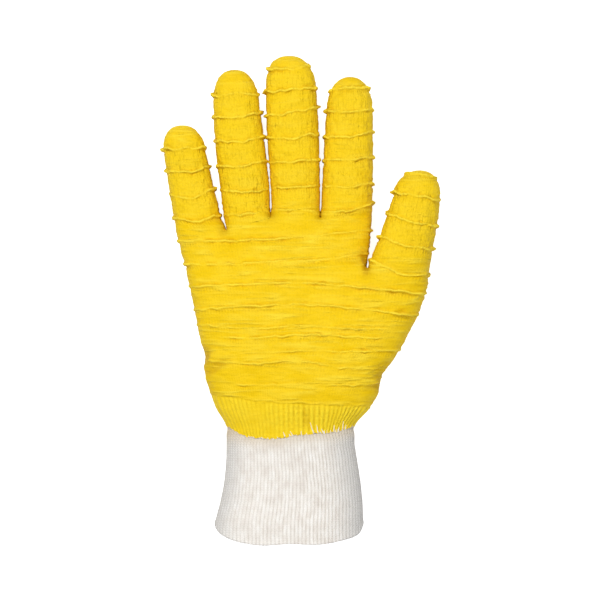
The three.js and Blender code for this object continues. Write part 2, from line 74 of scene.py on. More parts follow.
# Webs and roots
WEB_DIP = 1.4  # a web's middle stands this far above its ends
WEB_DEPTH = 1.8  # how far the inner webs lie below the outer ones, as a share of the wall
ROOT_BLEND = 7  # a finger takes on its own shape over this length
WEB_LEVELS = (3, 9, 15, 21, 26)
THUMB_CROTCH = (36.6, 16.4)
THUMB_WEB_LEVELS = (6, 14, 22, 30, 36)
CROTCH_REACH = 4.5  # webs are softened within this distance
CROTCH_PASSES = 6
CROTCH_SHADE = 3.2

# The crinkled coat
RIDGE_FRONT = 0.8
RIDGE_WIDTH = 0.58
PALM_RIDGE_WIDTH = 0.42
NUB_WIDTH = 0.82  # a ridge is thicker where it turns round a side
CRINKLE = 0.3
SMOOTH_TIP = 3.5  # the crinkle dies out over this length at a fingertip
FINGER_PITCH = 26.0  # shift of the patterns from one finger to the next
PUFF = 0.2  # how far the coat swells between two ridges
RIB_PITCH = 3.25  # columns from one rib to the next, where the knit wrist shows through the coat
RIB_SHOW = 0.15
RIB_STRAIGHTEN = 1.05  # how far the ribs leave the hand's columns, which draw together towards the wrist
RIBS_BELOW = -54
EDGE_TAPER = 11  # the coat thins out over this length
FOLDS_ABOVE = 8  # dents and folds lie above this height
LINE_SHADOW = 0.0007  # how far below a fine line of the coat its painted shadow lies

# The knit wrist
RIBS = 92
RIB_STEPS = 6
RIB_DEPTH = 0.3
RIB_SHEAR = 0.006  # ribs of the front lean towards the thumb side on their way down
TUCK = 4.5  # the wrist draws in under the coat over this length
FLATTENED = 0.5  # how far its outer face is flattened there
FRONT_ABOVE = 13  # height that parts the wrist's front from its back
KNIT_LOW, KNIT_HIGH, KNIT_LEVELS = -134.5, -50.0, 100
KNIT_OUTER_ROWS = 54
KNIT_INNER_ROWS = 20
COAT_EDGE_LEVEL = -72

# Floor and room
FLOOR_GLOW = 0.85
ROOM_LIGHT = 0.455

# Columns that several tables have
SECTION = "y left right low high"
RIDGE = "at left right"


def table(columns, *rows):
    """Rows of a table as dictionaries, from the names of its columns and the values of each row."""
    return [dict(zip(columns.split(), row)) for row in rows]


HAND = table(
    SECTION + " split lift hollow power",
    (-76, -39.3, 28.9, 0, 31, 13, 0, 0, 2.5),
    (-68, -41.5, 31.3, 0, 32, 15, 0, 0, 2.5),
    (-59, -45.7, 37.9, 0, 35, 18, 0, 0.3, 2.5),
    (-50, -49.0, 43.4, 0, 37, 21, 0, 0.8, 2.5),
    (-37, -53.0, 48.6, 0, 38, 25, 1, 1.6, 2.6),
    (-24, -54.2, 56.0, 0, 38, 30, 2, 2.2, 2.6),
    (-10, -56.5, 63.2, 0, 37, 34, 4, 2.4, 2.7),
    (2, -59.0, 67.8, 0, 36, 36, 6, 2.2, 2.8),
    (14, -61.7, 70.3, 0, 34, 36.6, 8, 1.4, 2.9),
)
KNUCKLES = table(
    SECTION + " lift hollow power",
    (10, -60.8, 36.6, 0, 33, 4.6, 1.2, 2.9),
    (22, -63.6, 37.1, 0, 31, 2.4, 0.8, 3.1),
    (34, -66.8, 38.2, 0, 28.6, 0.8, 0.2, 3.3),
    (48, -69.4, 39.6, 0, 27, 0, 0, 3.5),
)
WRIST = table(
    SECTION,
    (-134, -46.4, 34.2, 0, 31),
    (-122, -46.4, 34.4, 0, 31),
    (-111, -43.7, 34.1, 0, 30),
    (-100, -41.5, 33.0, 0, 29.5),
    (-88, -40.3, 31.2, 0, 29.5),
    (-79, -40.1, 29.7, 0, 30),
)
LITTLE_FINGER = dict(
    sections=table(
        SECTION,
        (38, -68.0, -41.6, 0.6, 25.0),
        (54, -70.4, -45.3, 0.9, 23.4),
        (67, -72.4, -48.5, 2.2, 22.6),
        (82, -74.7, -51.9, 4.4, 23.4),
    ),
    dome=dict(start=81, tip=95.3, x=-64.2, z=15.2, power=2.3),
    ridges=table(
        RIDGE,
        ([44.7, 42.6, 46.4], 1.2, 1.0),
        ([57.6, 55.5, 60.4], 1.4, 1.4),
        ([70.1, 69.6, 72.6], 1.2, 1.5),
        ([81.8, 82.6, 83.2], 1.6, 1.2),
    ),
)
RING_FINGER = dict(
    sections=table(
        SECTION,
        (44, -41.3, -16.4, 0.4, 26.6),
        (60, -43.4, -16.7, 0.8, 25.4),
        (76, -45.4, -18.3, 2.0, 24.6),
        (92, -46.7, -20.2, 4.2, 24.8),
        (107, -47.3, -22.4, 6.8, 25.8),
    ),
    dome=dict(start=106, tip=125.5, x=-35.6, z=17.4, power=2.3),
    ridges=table(
        RIDGE,
        ([46.0, 46.4, 48.2], 0.6, 0.1),
        ([59.7, 58.7, 61.0], 0.7, 0.2),
        ([72.9, 72.6, 75.8], 1.0, 0.7),
        ([86.4, 86.0, 88.8], 1.4, 1.4),
        ([100.0, 99.4, 102.0], 1.4, 1.7),
        ([111.4, 112.0, 111.8], 1.7, 0.9),
    ),
)
MIDDLE_FINGER = dict(
    sections=table(
        SECTION,
        (46, -15.3, 10.8, 0.4, 27.4),
        (60, -15.8, 10.9, 0.8, 26.2),
        (76, -16.9, 10.6, 2.0, 25.4),
        (95, -18.2, 10.0, 4.6, 25.6),
        (114, -18.6, 8.9, 7.6, 26.8),
    ),
    dome=dict(start=113, tip=133.1, x=-5.9, z=18.4, power=2.4),
    ridges=table(
        RIDGE,
        ([48.4, 49.2, 48.8], 0.1, 0.1),
        ([61.0, 61.2, 62.5], 0.2, 0.3),
        ([75.0, 74.6, 76.4], 0.7, 0.8),
        ([88.2, 87.8, 90.6], 1.2, 1.2),
        ([100.3, 101.8, 104.8], 1.2, 1.5),
        ([113.5, 114.6, 115.2], 1.5, 1.2),
        ([125.6, 125.4, 127.4], 1.2, 1.2),
    ),
)
INDEX_FINGER = dict(
    sections=table(
        SECTION,
        (44, 11.5, 39.3, 0.4, 27.0),
        (60, 12.0, 39.6, 0.8, 26.0),
        (76, 12.9, 39.8, 2.0, 25.2),
        (90, 13.5, 39.8, 3.8, 25.2),
        (103, 14.5, 39.6, 5.8, 25.8),
    ),
    dome=dict(start=102, tip=121.7, x=27.3, z=17.0, power=2.2),
    ridges=table(
        RIDGE,
        ([48.6, 48.2, 52.4], 0.1, 1.5),
        ([62.8, 61.5, 63.6], 0.3, 0.9),
        ([76.4, 76.0, 77.8], 0.9, 1.0),
        ([88.8, 88.6, 91.6], 1.3, 1.1),
        ([102.8, 102.0, 103.6], 1.5, 0.8),
        ([114.2, 115.0, 114.6], 1.4, 1.3),
    ),
)
FINGERS = [LITTLE_FINGER, RING_FINGER, MIDDLE_FINGER, INDEX_FINGER]
THUMB = dict(
    sections=table(
        SECTION,
        (8, 36.6, 69.0, 7.0, 39.5),
        (18, 37.2, 70.5, 8.6, 39.6),
        (25, 39.6, 71.7, 10.0, 39.5),
        (33, 42.8, 73.0, 12.0, 39.2),
        (45, 46.8, 75.2, 14.6, 39.2),
        (56, 50.6, 76.0, 17.2, 39.4),
    ),
    dome=dict(start=56, tip=70.4, x=64.6, z=29.2, power=2.2, tip_ridge=[68.4, 68.0, 66.2]),
    ridges=table(
        RIDGE,
        ([21.6, 15.4, 14.0], 1.0, 1.2),
        ([34.1, 29.8, 27.8], 1.4, 1.5),
        ([46.7, 42.2, 40.2], 1.5, 1.5),
        ([58.4, 56.6, 54.0], 1.7, 0.8),
    ),
)
HAND_RIDGES = table(
    "at start end front left right",
    ([-46, -46, -46, -46, -45.5], 0.1, 1, 0.5, 0.3, 0.3),
    ([-33, -34.6, -33, -36.8, -35.6], 0, 0.9, 0.75, 0.15, 0.5),
    ([-26.6, -28.6, -27.6, -27.9, -27], 0.3, 1, 0.7, 0.3, 0.9),
    ([-20, -20.5, -18.8, -20.1, -20.6], 0.06, 0.95, 0.8, 0.3, 0.5),
    ([-13.4, -15.4, -14.1, -15.7, -15.4], 0, 0.95, 0.8, 0.6, 0.7),
    ([-4.9, -3.3, -2.6, -5.2, -8], 0, 1, 0.85, 0.9, 1.2),
    ([7.4, 8.4, 9.2, 6.5, 3.6], 0, 1, 0.85, 0.7, 1.2),
)
KNUCKLE_RIDGES = table(
    RIDGE,
    ([19.6, 19.2, 21.1, 21.6, 25.2], 1.0, 0.5),
    ([32.2, 32, 33.2, 35.2, 37.8], 0.9, 0.9),
)
COAT_EDGE = [-68.7, -73.6, -74.8, -74.9, -73.5, -72.6, -72.0, -71.1, -68.9]
COAT_EDGE_BACK = -72.5
SEAM = [-50.4, -53.6, -55.4, -56.2, -56.6]
SEAM_RIDGE = dict(at=SEAM, bow=-1, front=0.24, left=0.2, right=0.15)
THUMB_ROOT = [14.4, 15, 15, 16.4, 9.4]
FINGER_ROOT = [38.4, 37.2, 44.4, 44.4, 43.4]
FINGER_WEBS = [-41.2, -16.2, 11.1]
FINGER_WEB_HEIGHTS = [37.6, 46.2, 45.4]
# The hem's places lie closer together near the sides.
HEM = [-121.5, -127.2, -131.3, -133.2, -132.4, -132.8, -130.7, -127.6, -121.5]
HEM_BACK = -129

# Dents and folds of the palm's side: middle, half sizes, lean in degrees, and depth
FOLDS = table(
    "x y wide tall lean depth",
    (35.4, 20, 1.7, 7.0, 6, 1.5),
    (-46, -36.4, 6.0, 2.2, 34, 2.1),
    (-47.5, -31.0, 4.5, 1.4, 30, -0.6),
    (-53.5, -31.0, 4.6, 5.6, 0, 2.2),
    (46.6, -42.8, 6.4, 6.6, 0, 2.3),
    (33.4, 112.6, 1.9, 0.6, 14, 0.7),
    (30.2, 102.2, 1.4, 0.5, 0, 0.5),
    (-26.0, 107.2, 1.8, 0.5, 10, 0.5),
    (60.2, 59.6, 1.6, 0.6, -50, 0.8),
    (64.8, 57.8, 1.9, 0.6, -40, 0.9),
    (-45, -25.5, 7.0, 1.3, -14, 0.5),
    (39, -47.5, 4.5, 1.8, -10, 0.9),
    (40, -44, 6.0, 1.1, 6, -0.6),
    (36, -52, 3.0, 2.6, 0, -0.5),
    (43, -24.6, 10, 0.9, -12, -0.5),
    (44, -27.5, 8, 1.4, -14, 0.4),
    (31, -34, 4, 7.0, 4, 0.5),
    (3.3, -64.5, 2.0, 6.6, 8, 1.1),
    (8.4, -62, 1.5, 4.5, 6, 0.4),
    (-1.6, -59.5, 1.5, 3.0, 8, 0.5),
    (27, 1, 10, 1.2, -14, 0.4),
    (22, 8, 9, 1.1, -12, 0.35),
    (49, 4, 9, 1.2, -12, 0.4),
    (46, 12.5, 5, 4.0, 0, -0.6),
)

# Where the coat is crumpled most: middle, reach, and how much stronger the crinkle is
CRUMPLED = table(
    "x y reach extra",
    (42, -38, 14, 0.8),
    (36, 24, 12, 0.4),
    (-33, 40, 14, 0.6),
    (22, 46, 14, 0.4),
    (66, 4, 11, 0.8),
    (60, -14, 11, 0.7),
    (72, 40, 8, 0.5),
    (0, 28, 18, 0.6),
)
CRUMPLED += [dict(x=f["dome"]["x"], y=f["dome"]["tip"] - 6, reach=7, extra=0.9) for f in FINGERS + [THUMB]]

# Strands of bare cotton that lie on the coat's lower edge: foot and tip, as places across and up
BARE_YARNS = table(
    "foot tip",
    ((-8.2, -74.0), (-9.1, -71.5)),
    ((-3.7, -74.0), (-5.3, -71.1)),
    ((0.9, -74.0), (0.6, -70.9)),
    ((7.5, -72.5), (5.6, -66.4)),
    ((9.9, -72.2), (9.0, -67.8)),
    ((12.3, -71.9), (11.9, -69.8)),
    ((18.4, -71.9), (18.6, -67.8)),
    ((20.9, -71.9), (21.1, -68.8)),
    ((22.8, -71.4), (23.5, -65.7)),
    ((24.4, -70.9), (25.0, -67.8)),
)


def mix(a, b, share):
    return a + (b - a) * share


def clamp(value, low, high):
    return min(high, max(low, value))


def ease(share):
    s = clamp(share, 0.0, 1.0)
    return s * s * (3 - 2 * s)


def hermite(a, b, slope_a, slope_b, t):
    u = 1 - t
    return (1 + 2 * t) * u * u * a + t * u * u * slope_a + t * t * (3 - 2 * t) * b - t * t * u * slope_b


def along(values, share):
    """A smooth curve through evenly spaced values, read at a share of its length."""
    spans = len(values) - 1
    place = clamp(share, 0, 1) * spans
    i = min(spans - 1, int(place))

    def slope(k):
        return (values[min(spans, k + 1)] - values[max(0, k - 1)]) / 2

    return hermite(values[i], values[i + 1], slope(i), slope(i + 1), place - i)


def section_at(sections, y):
    """The section at a height, with every measure read off a smooth curve."""
    last = len(sections) - 1
    height = clamp(y, sections[0]["y"], sections[last]["y"])
    i = 0
    while i < last - 1 and sections[i + 1]["y"] <= height:
        i += 1
    a, b = sections[i], sections[i + 1]
    before, after = sections[max(0, i - 1)], sections[min(last, i + 2)]
    step = b["y"] - a["y"]
    t = (height - a["y"]) / step
    section = {}
    for key in a:
        slope_a = (b[key] - before[key]) / (b["y"] - before["y"]) * step
        slope_b = (after[key] - a[key]) / (after["y"] - a["y"]) * step
        section[key] = hermite(a[key], b[key], slope_a, slope_b, t)
    return section


def inset_section(sections, y, inset):
    s = section_at(sections, y)
    s["left"] += inset
    s["right"] -= inset
    s["low"] += inset
    s["high"] -= inset
    return s


def finger_section(finger, y, inset):
    """A finger's section, drawn in towards the tip over its dome."""
    dome = finger["dome"]
    tip = dome["tip"] - inset
    start = dome["start"] - inset
    s = section_at(finger["sections"], min(y, start))
    share = clamp((y - start) / (tip - start), 0, 1)
    fullness = (1 - share ** dome["power"]) ** (1 / dome["power"])
    shift = ease(share)
    middle = mix((s["left"] + s["right"]) / 2, dome["x"], shift)
    height = mix((s["low"] + s["high"]) / 2, dome["z"], shift)
    half_width = ((s["right"] - s["left"]) / 2 - inset) * fullness
    half_height = ((s["high"] - s["low"]) / 2 - inset) * fullness
    return dict(
        left=middle - half_width,
        right=middle + half_width,
        low=height - half_height,
        high=height + half_height,
    )


class Place:
    """One column round a section: its face, and where it lies on that face."""

    def __init__(self, face, stop=0, part=0.0, turn=0.0, sign=1):
        self.face = face
        self.stop = stop  # which stretch between two webs
        self.part = part  # how far along that stretch
        self.turn = turn  # share of the way down a side
        self.sign = sign
        self.share = 0.0
        self.along = 0.0  # place round the glove, for patterns: in columns on the hand, else in millimetres


def places_round(counts):
    """Columns in the order front, right side, back, left side; counts has the columns between webs."""
    front = [(0, 0.0)] + [(i, (k + 1) / n) for i, n in enumerate(counts) for k in range(n)]
    right = [Place("right", turn=(k + 1) / SIDE_COLUMNS, sign=1) for k in range(SIDE_COLUMNS - 1)]
    left = [Place("left", turn=(k + 1) / SIDE_COLUMNS, sign=-1) for k in range(SIDE_COLUMNS - 1)]
    places = [Place("front", i, t) for i, t in front]
    places += right
    places += [Place("back", i, t) for i, t in reversed(front)]
    places += reversed(left)
    return places


def rise(across, power):
    return max(0.0, 1 - abs(across) ** power) ** (1 / power)


def side_point(turn, sign, corner, power, back_power):
    angle = mix(corner, -corner, turn)
    across = sign * math.cos(angle) ** (2 / power)
    up = math.copysign(abs(math.sin(angle)) ** (2 / (power if angle > 0 else back_power)), angle)
    return across, up


def hand_spot(section, place, stops):
    """Across and up of a place in the hand's section."""
    power = section["power"]
    if place.face in ("right", "left"):
        corner = math.acos(HAND_CORNER ** (power / 2))
        return side_point(place.turn, place.sign, corner, power, BACK_POWER)
    across = mix(stops[place.stop], stops[place.stop + 1], place.part)
    return across, rise(across, power) if place.face == "front" else -rise(across, BACK_POWER)


def finger_spot(place):
    if place.face in ("right", "left"):
        return side_point(place.turn, place.sign, FINGER_CORNER, FINGER_POWER, FINGER_POWER)
    angle = mix(math.pi - FINGER_CORNER, FINGER_CORNER, place.part)
    across = math.copysign(abs(math.cos(angle)) ** (2 / FINGER_POWER), math.cos(angle))
    up = math.sin(angle) ** (2 / FINGER_POWER)
    return across, up if place.face == "front" else -up


def spot_point(s, across, up, press):
    """A point of a section. The back of the hand is pressed flat at the section's lowest height."""
    half = (s["right"] - s["left"]) / 2
    centre = mix(s["low"], s["high"], WAIST)
    depth = s["high"] - centre if up > 0 else centre - s["low"] + press
    lift = s.get("lift", 0) * ease((across + 0.1) / 1.1)
    dip = s.get("hollow", 0) * clamp(1 - (across / 0.75) ** 2, 0, 1) ** 2 if up > 0 else 0
    return (s["left"] + s["right"]) / 2 + across * half, max(centre + up * depth - dip, s["low"]) + lift


KNUCKLE_TOP = section_at(KNUCKLES, 48)
WEB_SHARES = [(x - KNUCKLE_TOP["left"]) / (KNUCKLE_TOP["right"] - KNUCKLE_TOP["left"]) for x in FINGER_WEBS]


def hand_stops(s):
    width = s["right"] - s["left"]
    webs = [mix(s["left"], s["split"], share) for share in WEB_SHARES] + [s["split"]]
    return [-HAND_CORNER] + [(x - s["left"]) / width * 2 - 1 for x in webs] + [HAND_CORNER]


def knuckle_stops(s):
    return [-HAND_CORNER] + [share * 2 - 1 for share in WEB_SHARES] + [HAND_CORNER]


class Trunk:
    """The hand below the thumb's root, or above it."""

    def __init__(self, sections, stops, counts, level):
        self.sections = sections
        self.stops = stops
        self.places = places_round(counts)
        s = section_at(sections, level)
        for place in self.places:
            place.share = (hand_spot(s, place, stops(s))[0] + 1) / 2

    def point(self, i, y, inset):
        s = inset_section(self.sections, y, inset)
        across, up = hand_spot(s, self.places[i], self.stops(s))
        x, z = spot_point(s, across, up, PRESS)
        return Vector((x, y, z))


class Finger:
    """A finger or the thumb, above its root."""

    def __init__(self, finger, columns):
        self.finger = finger
        self.places = places_round([columns])
        self.spots = [finger_spot(place) for place in self.places]
        for place, spot in zip(self.places, self.spots):
            place.share = (spot[0] + 1) / 2

    def point(self, i, y, inset):
        s = finger_section(self.finger, y, inset)
        x, z = spot_point(s, *self.spots[i], 0)
        return Vector((x, y, z))


FAR = 9.0  # stands for no ridge, or no lower edge, nearby
KNOT_LAYERS = ("out", "crease", "ribbed", "crazed", "gap", "ridge", "above_edge")


class Knot:
    """A vertex of a surface to be: its place, how far the coat stands out there, and how much painted shade
    it takes for lying in a crease.
    """

    def __init__(self, co, out=0.0):
        self.co = co
        self.out = out
        self.crease = 0.0
        self.ribbed = 0.0
        self.crazed = 0.0
        self.gap = FAR  # millimetres above the nearest ridge
        self.ridge = 0.0  # how strong that ridge is
        self.above_edge = FAR  # millimetres above the coat's lower edge

    def paint_crease_shade(self):
        # Painted shade: the deeper the coat is pressed in, the darker its colour.
        self.crease = 0.5 * clamp(-self.out - 0.1, 0, 1)


def line_height(stations, place, bow=0.0):
    if place.face != "back":
        return along(stations, place.share)
    return mix(stations[0], stations[-1], place.share) + bow * math.sin(math.pi * place.share)


def shoulder_of(place):
    return abs(place.share * 2 - 1) ** 4


def ridge_strength(ridge, place):
    shoulder = shoulder_of(place)
    side = ridge["left"] if place.share < 0.5 else ridge["right"]
    start, end = ridge.get("start", 0), ridge.get("end", 1)
    fade = ease((place.share - start) / 0.12) if start > 0 else 1
    fade *= ease((end - place.share) / 0.12) if end < 1 else 1
    return mix(ridge.get("front", RIDGE_FRONT), side, shoulder) * fade


def wave(x, y, seed):
    return noise.noise(Vector((x, y, seed)))


def rib_drift(place, y):
    """Columns that the ribs shift by below the seam, where the hand narrows, to hang nearly straight."""
    if place.face != "front":
        return 0.0
    straight = ease((place.share - 0.15) / 0.3) * ease((0.965 - place.share) / 0.3)
    return RIB_STRAIGHTEN * straight * (place.share - 0.41) * min(0.0, y - RIBS_BELOW)


def rib_wave(place, y):
    return math.cos(2 * math.pi * (place.along + rib_drift(place, y)) / RIB_PITCH)


def pinch_at(round_by, seed):
    """How hard the coat is pinched in below and above a ridge: here and there, seldom on both sides."""
    low = clamp(0.5 + 3.6 * wave(round_by / 3.6, seed * 1.7, 2.7), 0.05, 2.4)
    high = clamp(0.5 + 7.0 * wave(round_by / 4.2, seed * 2.3, 9.1), 0.0, 4.6)
    return low, high


def ridge_out(gap, strength, width, pinch=(1.0, 1.0)):
    """How far a pinched bead stands out, by the distance from its crest, with a fine crease at each foot."""
    bead = math.exp(-((gap / width) ** 4))
    below = math.exp(-(((gap + 2.0 * width) / 0.5) ** 2))
    above = math.exp(-(((gap - 2.0 * width) / 0.55) ** 2))
    return strength * (bead - 0.3 * pinch[0] * below - 0.14 * pinch[1] * above)


def crumple_at(co):
    """How many times stronger the crinkle is here than where the coat is smoothest."""

    def added(spot):
        away = (co.x - spot["x"]) ** 2 + (co.y - spot["y"]) ** 2
        return spot["extra"] * math.exp(-away / spot["reach"] ** 2)

    return 1 + sum(added(spot) for spot in CRUMPLED)


def crinkle_out(co):
    """Fine wrinkles, drawn out across the glove, with a few sharper ones among them."""
    flow = co.y + 2.2 * wave(co.x / 30, co.y / 26, 3.1) + 0.5 * wave(co.x / 6, co.y / 6, 7.7)
    patch = clamp(0.8 + 1.3 * wave(co.x / 19, co.y / 10, 8.4 + co.z / 40), 0.15, 1.8)
    wide = noise.noise(Vector((co.x / 8.5, flow / 1.7, co.z / 8.5 + 5)))
    fine = noise.noise(Vector((co.x / 3.4, flow / 1.1, co.z / 3.4 + 9)))
    line = noise.noise(Vector((co.x / 15, flow / 2.9, co.z / 15 + 2)))
    sharp = math.exp(-((line / 0.09) ** 2)) * clamp(0.3 + 2.2 * wave(co.x / 14, co.y / 7, 5.5), 0, 1)
    return crumple_at(co) * (CRINKLE * patch * (wide + 0.45 * fine) + 0.2 * sharp)


def fold_out(co):
    """How far the palm's side stands out at its dents and folds."""
    depth = 0.0
    if co.z < FOLDS_ABOVE:
        return 0.0
    for fold in FOLDS:
        turn = math.radians(fold["lean"])
        dx, dy = co.x - fold["x"], co.y - fold["y"]
        a = dx * math.cos(turn) + dy * math.sin(turn)
        b = -dx * math.sin(turn) + dy * math.cos(turn)
        depth += fold["depth"] * math.exp(-((a / fold["wide"]) ** 2) - (b / fold["tall"]) ** 2)
    return -depth


def shares_between(below, above, step):
    """Even shares of the way from one line up to another, about a step apart."""
    gap = sum(b - a for a, b in zip(below, above)) / len(below)
    count = max(1, round(gap / step))
    return [k / count for k in range(1, count + 1)]


def rows_between(below, above, ridge_below, ridge_above):
    """Rows of heights from one line up to the next, close together beside a ridge."""
    reach = RIDGE_ROWS[-1]
    low_reach, high_reach = reach * ridge_below, reach * ridge_above
    gap = sum(b - a for a, b in zip(below, above)) / len(below)
    count = max(1, round((gap - low_reach - high_reach) / ROW_STEP))
    squeeze = [min(1, (b - a) / (low_reach + high_reach + ROW_STEP)) for a, b in zip(below, above)]
    if ridge_below:
        for r in RIDGE_ROWS:
            yield [a + r * q for a, q in zip(below, squeeze)]
    for k in range(1, count + 1):
        yield [
            mix(a + low_reach * q, b - high_reach * q, k / count) for a, b, q in zip(below, above, squeeze)
        ]
    if ridge_above:
        for r in RIDGE_ROWS[-2::-1]:
            yield [b - r * q for b, q in zip(above, squeeze)]
        yield list(above)


def blended(co, root, share):
    if share >= 1:
        return co
    return Vector((mix(root.x, co.x, share), co.y, mix(root.z, co.z, share)))


def ridge_lines(form, ridge, seed, k):
    """A ridge's height, strength, width and pinches at each column round the glove."""
    on_trunk = isinstance(form, Trunk)
    wander = 0.6 if on_trunk else 1.05
    narrow = PALM_RIDGE_WIDTH if on_trunk else RIDGE_WIDTH
    heights, strengths, widths, pinches = [], [], [], []
    for p in form.places:
        shoulder = shoulder_of(p)
        wiggle = 1.1 * wave(p.along / 5.5, seed + k * 3.7, 1.3)
        wiggle += 0.6 * wave(p.along / 2.0, seed + k * 5.1, 6.2)
        swell = 0.95 + mix(1.5, 1.0, shoulder) * wave(p.along / 6, seed + k * 2.9, 4.4)
        swell += 0.7 * wave(p.along / 2.3, seed + k, 8.8)
        broad = clamp(1.1 + 0.9 * wave(p.along / 5, seed + k * 6.1, 5.9), 0.8, 1.6)
        heights.append(line_height(ridge["at"], p, ridge["bow"]) + wander * wiggle)
        strengths.append(ridge_strength(ridge, p) * clamp(swell, 0.18, 1.6))
        widths.append(mix(narrow * broad, NUB_WIDTH, shoulder))
        pinches.append(pinch_at(p.along, seed + k))
    return heights, strengths, widths, pinches


def coat_rows(form, root, ridges, last, blend, seed):
    """Rings of knots from a root ring up to a last line, with the ridges between."""
    lined = [ridge_lines(form, ridge, seed, k) for k, ridge in enumerate(ridges)]
    start = [knot.co.y for knot in root]
    lines = [start] + [heights for heights, *_ in lined] + [last]
    rings = [root]
    for span in range(len(lines) - 1):
        below, above = lines[span], lines[span + 1]
        nearby = [lined[k] for k in (span - 1, span) if 0 <= k < len(lined)]
        for heights in rows_between(below, above, span > 0, span < len(lined)):
            ring = []
            for i, y in enumerate(heights):
                share = clamp((y - below[i]) / max(0.1, above[i] - below[i]), 0, 1)
                from_root = (y - start[i]) / blend if blend else 1
                co = blended(form.point(i, y, 0), root[i].co, ease(from_root))
                knot = Knot(co)
                for crest, strengths, widths, pinches in nearby:
                    gap = y - crest[i]
                    knot.out += ridge_out(gap, strengths[i], widths[i], pinches[i])
                    if abs(gap) < abs(knot.gap):
                        knot.gap, knot.ridge = gap, strengths[i]
                open_end = (span == 0 and share < 0.5) or (span == len(lines) - 2 and share > 0.5)
                knot.out += PUFF * ((1 if open_end else math.sin(math.pi * share)) - 0.4)
                knot.out += crinkle_out(co) + fold_out(co)
                knot.paint_crease_shade()
                ring.append(knot)
            rings.append(ring)
    return rings


def count_places(form):
    """Numbers the columns round the trunk, so that the ribs below the seam fall on them."""
    for i, place in enumerate(form.places):
        place.along = float(i)
    form.round = float(len(form.places))


def number_places(form, level, start=0.0):
    """Gives each place its distance round the glove at a level, for patterns that follow the knit."""
    points = [form.point(i, level, 0) for i in range(len(form.places))]
    total = start
    for i, place in enumerate(form.places):
        place.along = total
        total += (points[(i + 1) % len(points)] - points[i]).length
    form.round = total - start


def web_knots(front, back, rise_by):
    """The knots through a web, from its front end to its back end. Its middle stands highest."""
    knots = [front]
    for k in range(1, SIDE_COLUMNS):
        t = k / SIDE_COLUMNS
        co = front.co.lerp(back.co, t)
        co.y += rise_by * math.sin(math.pi * t)
        knots.append(Knot(co))
    return knots + [back]


def branch_roots(ring, counts):
    total = sum(counts)
    back_start = total + SIDE_COLUMNS
    front = ring[: total + 1]
    right_side = ring[total : back_start + 1]
    back = list(reversed(ring[back_start : back_start + total + 1]))
    left = [ring[0]] + list(reversed(ring[back_start + total + 1 :])) + [back[0]]
    roots = []
    column = 0
    for count in counts:
        end = column + count
        right = right_side if end == total else web_knots(front[end], back[end], WEB_DIP)
        roots.append(
            front[column : end + 1]
            + right[1:-1]
            + list(reversed(back[column : end + 1]))
            + list(reversed(left[1:-1]))
        )
        column = end
        left = right
    return roots


def sew_tube(bm, rings, form, layers, material):
    """A grid bent round its rings. Its first and last columns meet."""
    columns, rows = len(rings[0]), len(rings) - 1
    grid = bmesh.ops.create_grid(bm, x_segments=columns, y_segments=rows, size=1)
    verts = grid["verts"]
    spots = {v: (round((v.co.x + 1) / 2 * columns), round((v.co.y + 1) / 2 * rows)) for v in verts}
    faces = {f for v in verts for f in v.link_faces}
    for v, (i, j) in spots.items():
        knot = rings[j][i % columns]
        v.co = knot.co * MM
        for label in KNOT_LAYERS:
            v[layers[label]] = getattr(knot, label)
    for f in faces:
        f.material_index = material
        f.smooth = True
        for loop in f.loops:
            i, j = spots[loop.vert]
            place, y = form.places[i % columns], rings[j][i % columns].co.y
            u = place.along + rib_drift(place, y) + (form.round if i == columns else 0)
            loop[layers["uv"]].uv = (u, y)


def dome_rings(form, below, inset, step):
    """Rings that close a finger, from its last full ring to its tip."""
    dome = form.finger["dome"]
    start, tip = dome["start"] - inset, dome["tip"] - inset
    y0 = below[0].co.y
    from_angle = math.asin(clamp((y0 - start) / (tip - start), 0, 1) ** (dome["power"] / 2))
    count = max(3, round((tip - y0) * 1.45 / step))
    rings = []
    for k in range(1, count + 1):
        angle = mix(from_angle, math.pi / 2, k / count)
        share = math.sin(angle) ** (2 / dome["power"])
        y = start + (tip - start) * share
        ring = []
        for i in range(len(form.places)):
            co = form.point(i, y, inset) if k < count else Vector((dome["x"], tip, dome["z"]))
            relief = (crinkle_out(co) + fold_out(co)) * ease((tip - co.y) / SMOOTH_TIP)
            knot = Knot(co, 0.0 if inset or k > count - 2 else relief)
            if "tip_ridge" in dome and not inset:
                knot.gap = co.y - along(dome["tip_ridge"], form.places[i].share)
                knot.ridge = 1.0 if form.places[i].face != "back" else 0.5
                knot.out += ridge_out(knot.gap, knot.ridge, 0.7)
            knot.paint_crease_shade()
            ring.append(knot)
        rings.append(ring)
    return rings


def coat_finger(bm, form, root, layers, seed):
    """A finger's outer face, closed at its tip."""
    ridges = [dict(r, bow=-1.2) for r in form.finger["ridges"]]
    top = max(ridges[-1]["at"]) + CAP_START
    rings = coat_rows(form, root, ridges, [top] * len(root), ROOT_BLEND, seed)
    rings += dome_rings(form, rings[-1], inset=0, step=ROW_STEP)
    for ring in rings[1:]:
        for knot in ring:
            tip_gap = form.finger["dome"]["tip"] - knot.co.y
            from_root = clamp((knot.co.y - root[0].co.y - 2) / 12, 0, 1)
            knot.crazed = from_root * mix(0.3, 1.0, ease((tip_gap - 5) / 8))
    sew_tube(bm, rings, form, layers, LATEX_FACES)


def plain_ring(form, root, heights, inset, blend):
    ring = []
    for i, y in enumerate(heights):
        share = ease((y - root[i].co.y) / blend) if blend else 1
        ring.append(Knot(blended(form.point(i, y, inset), root[i].co, share)))
    return ring


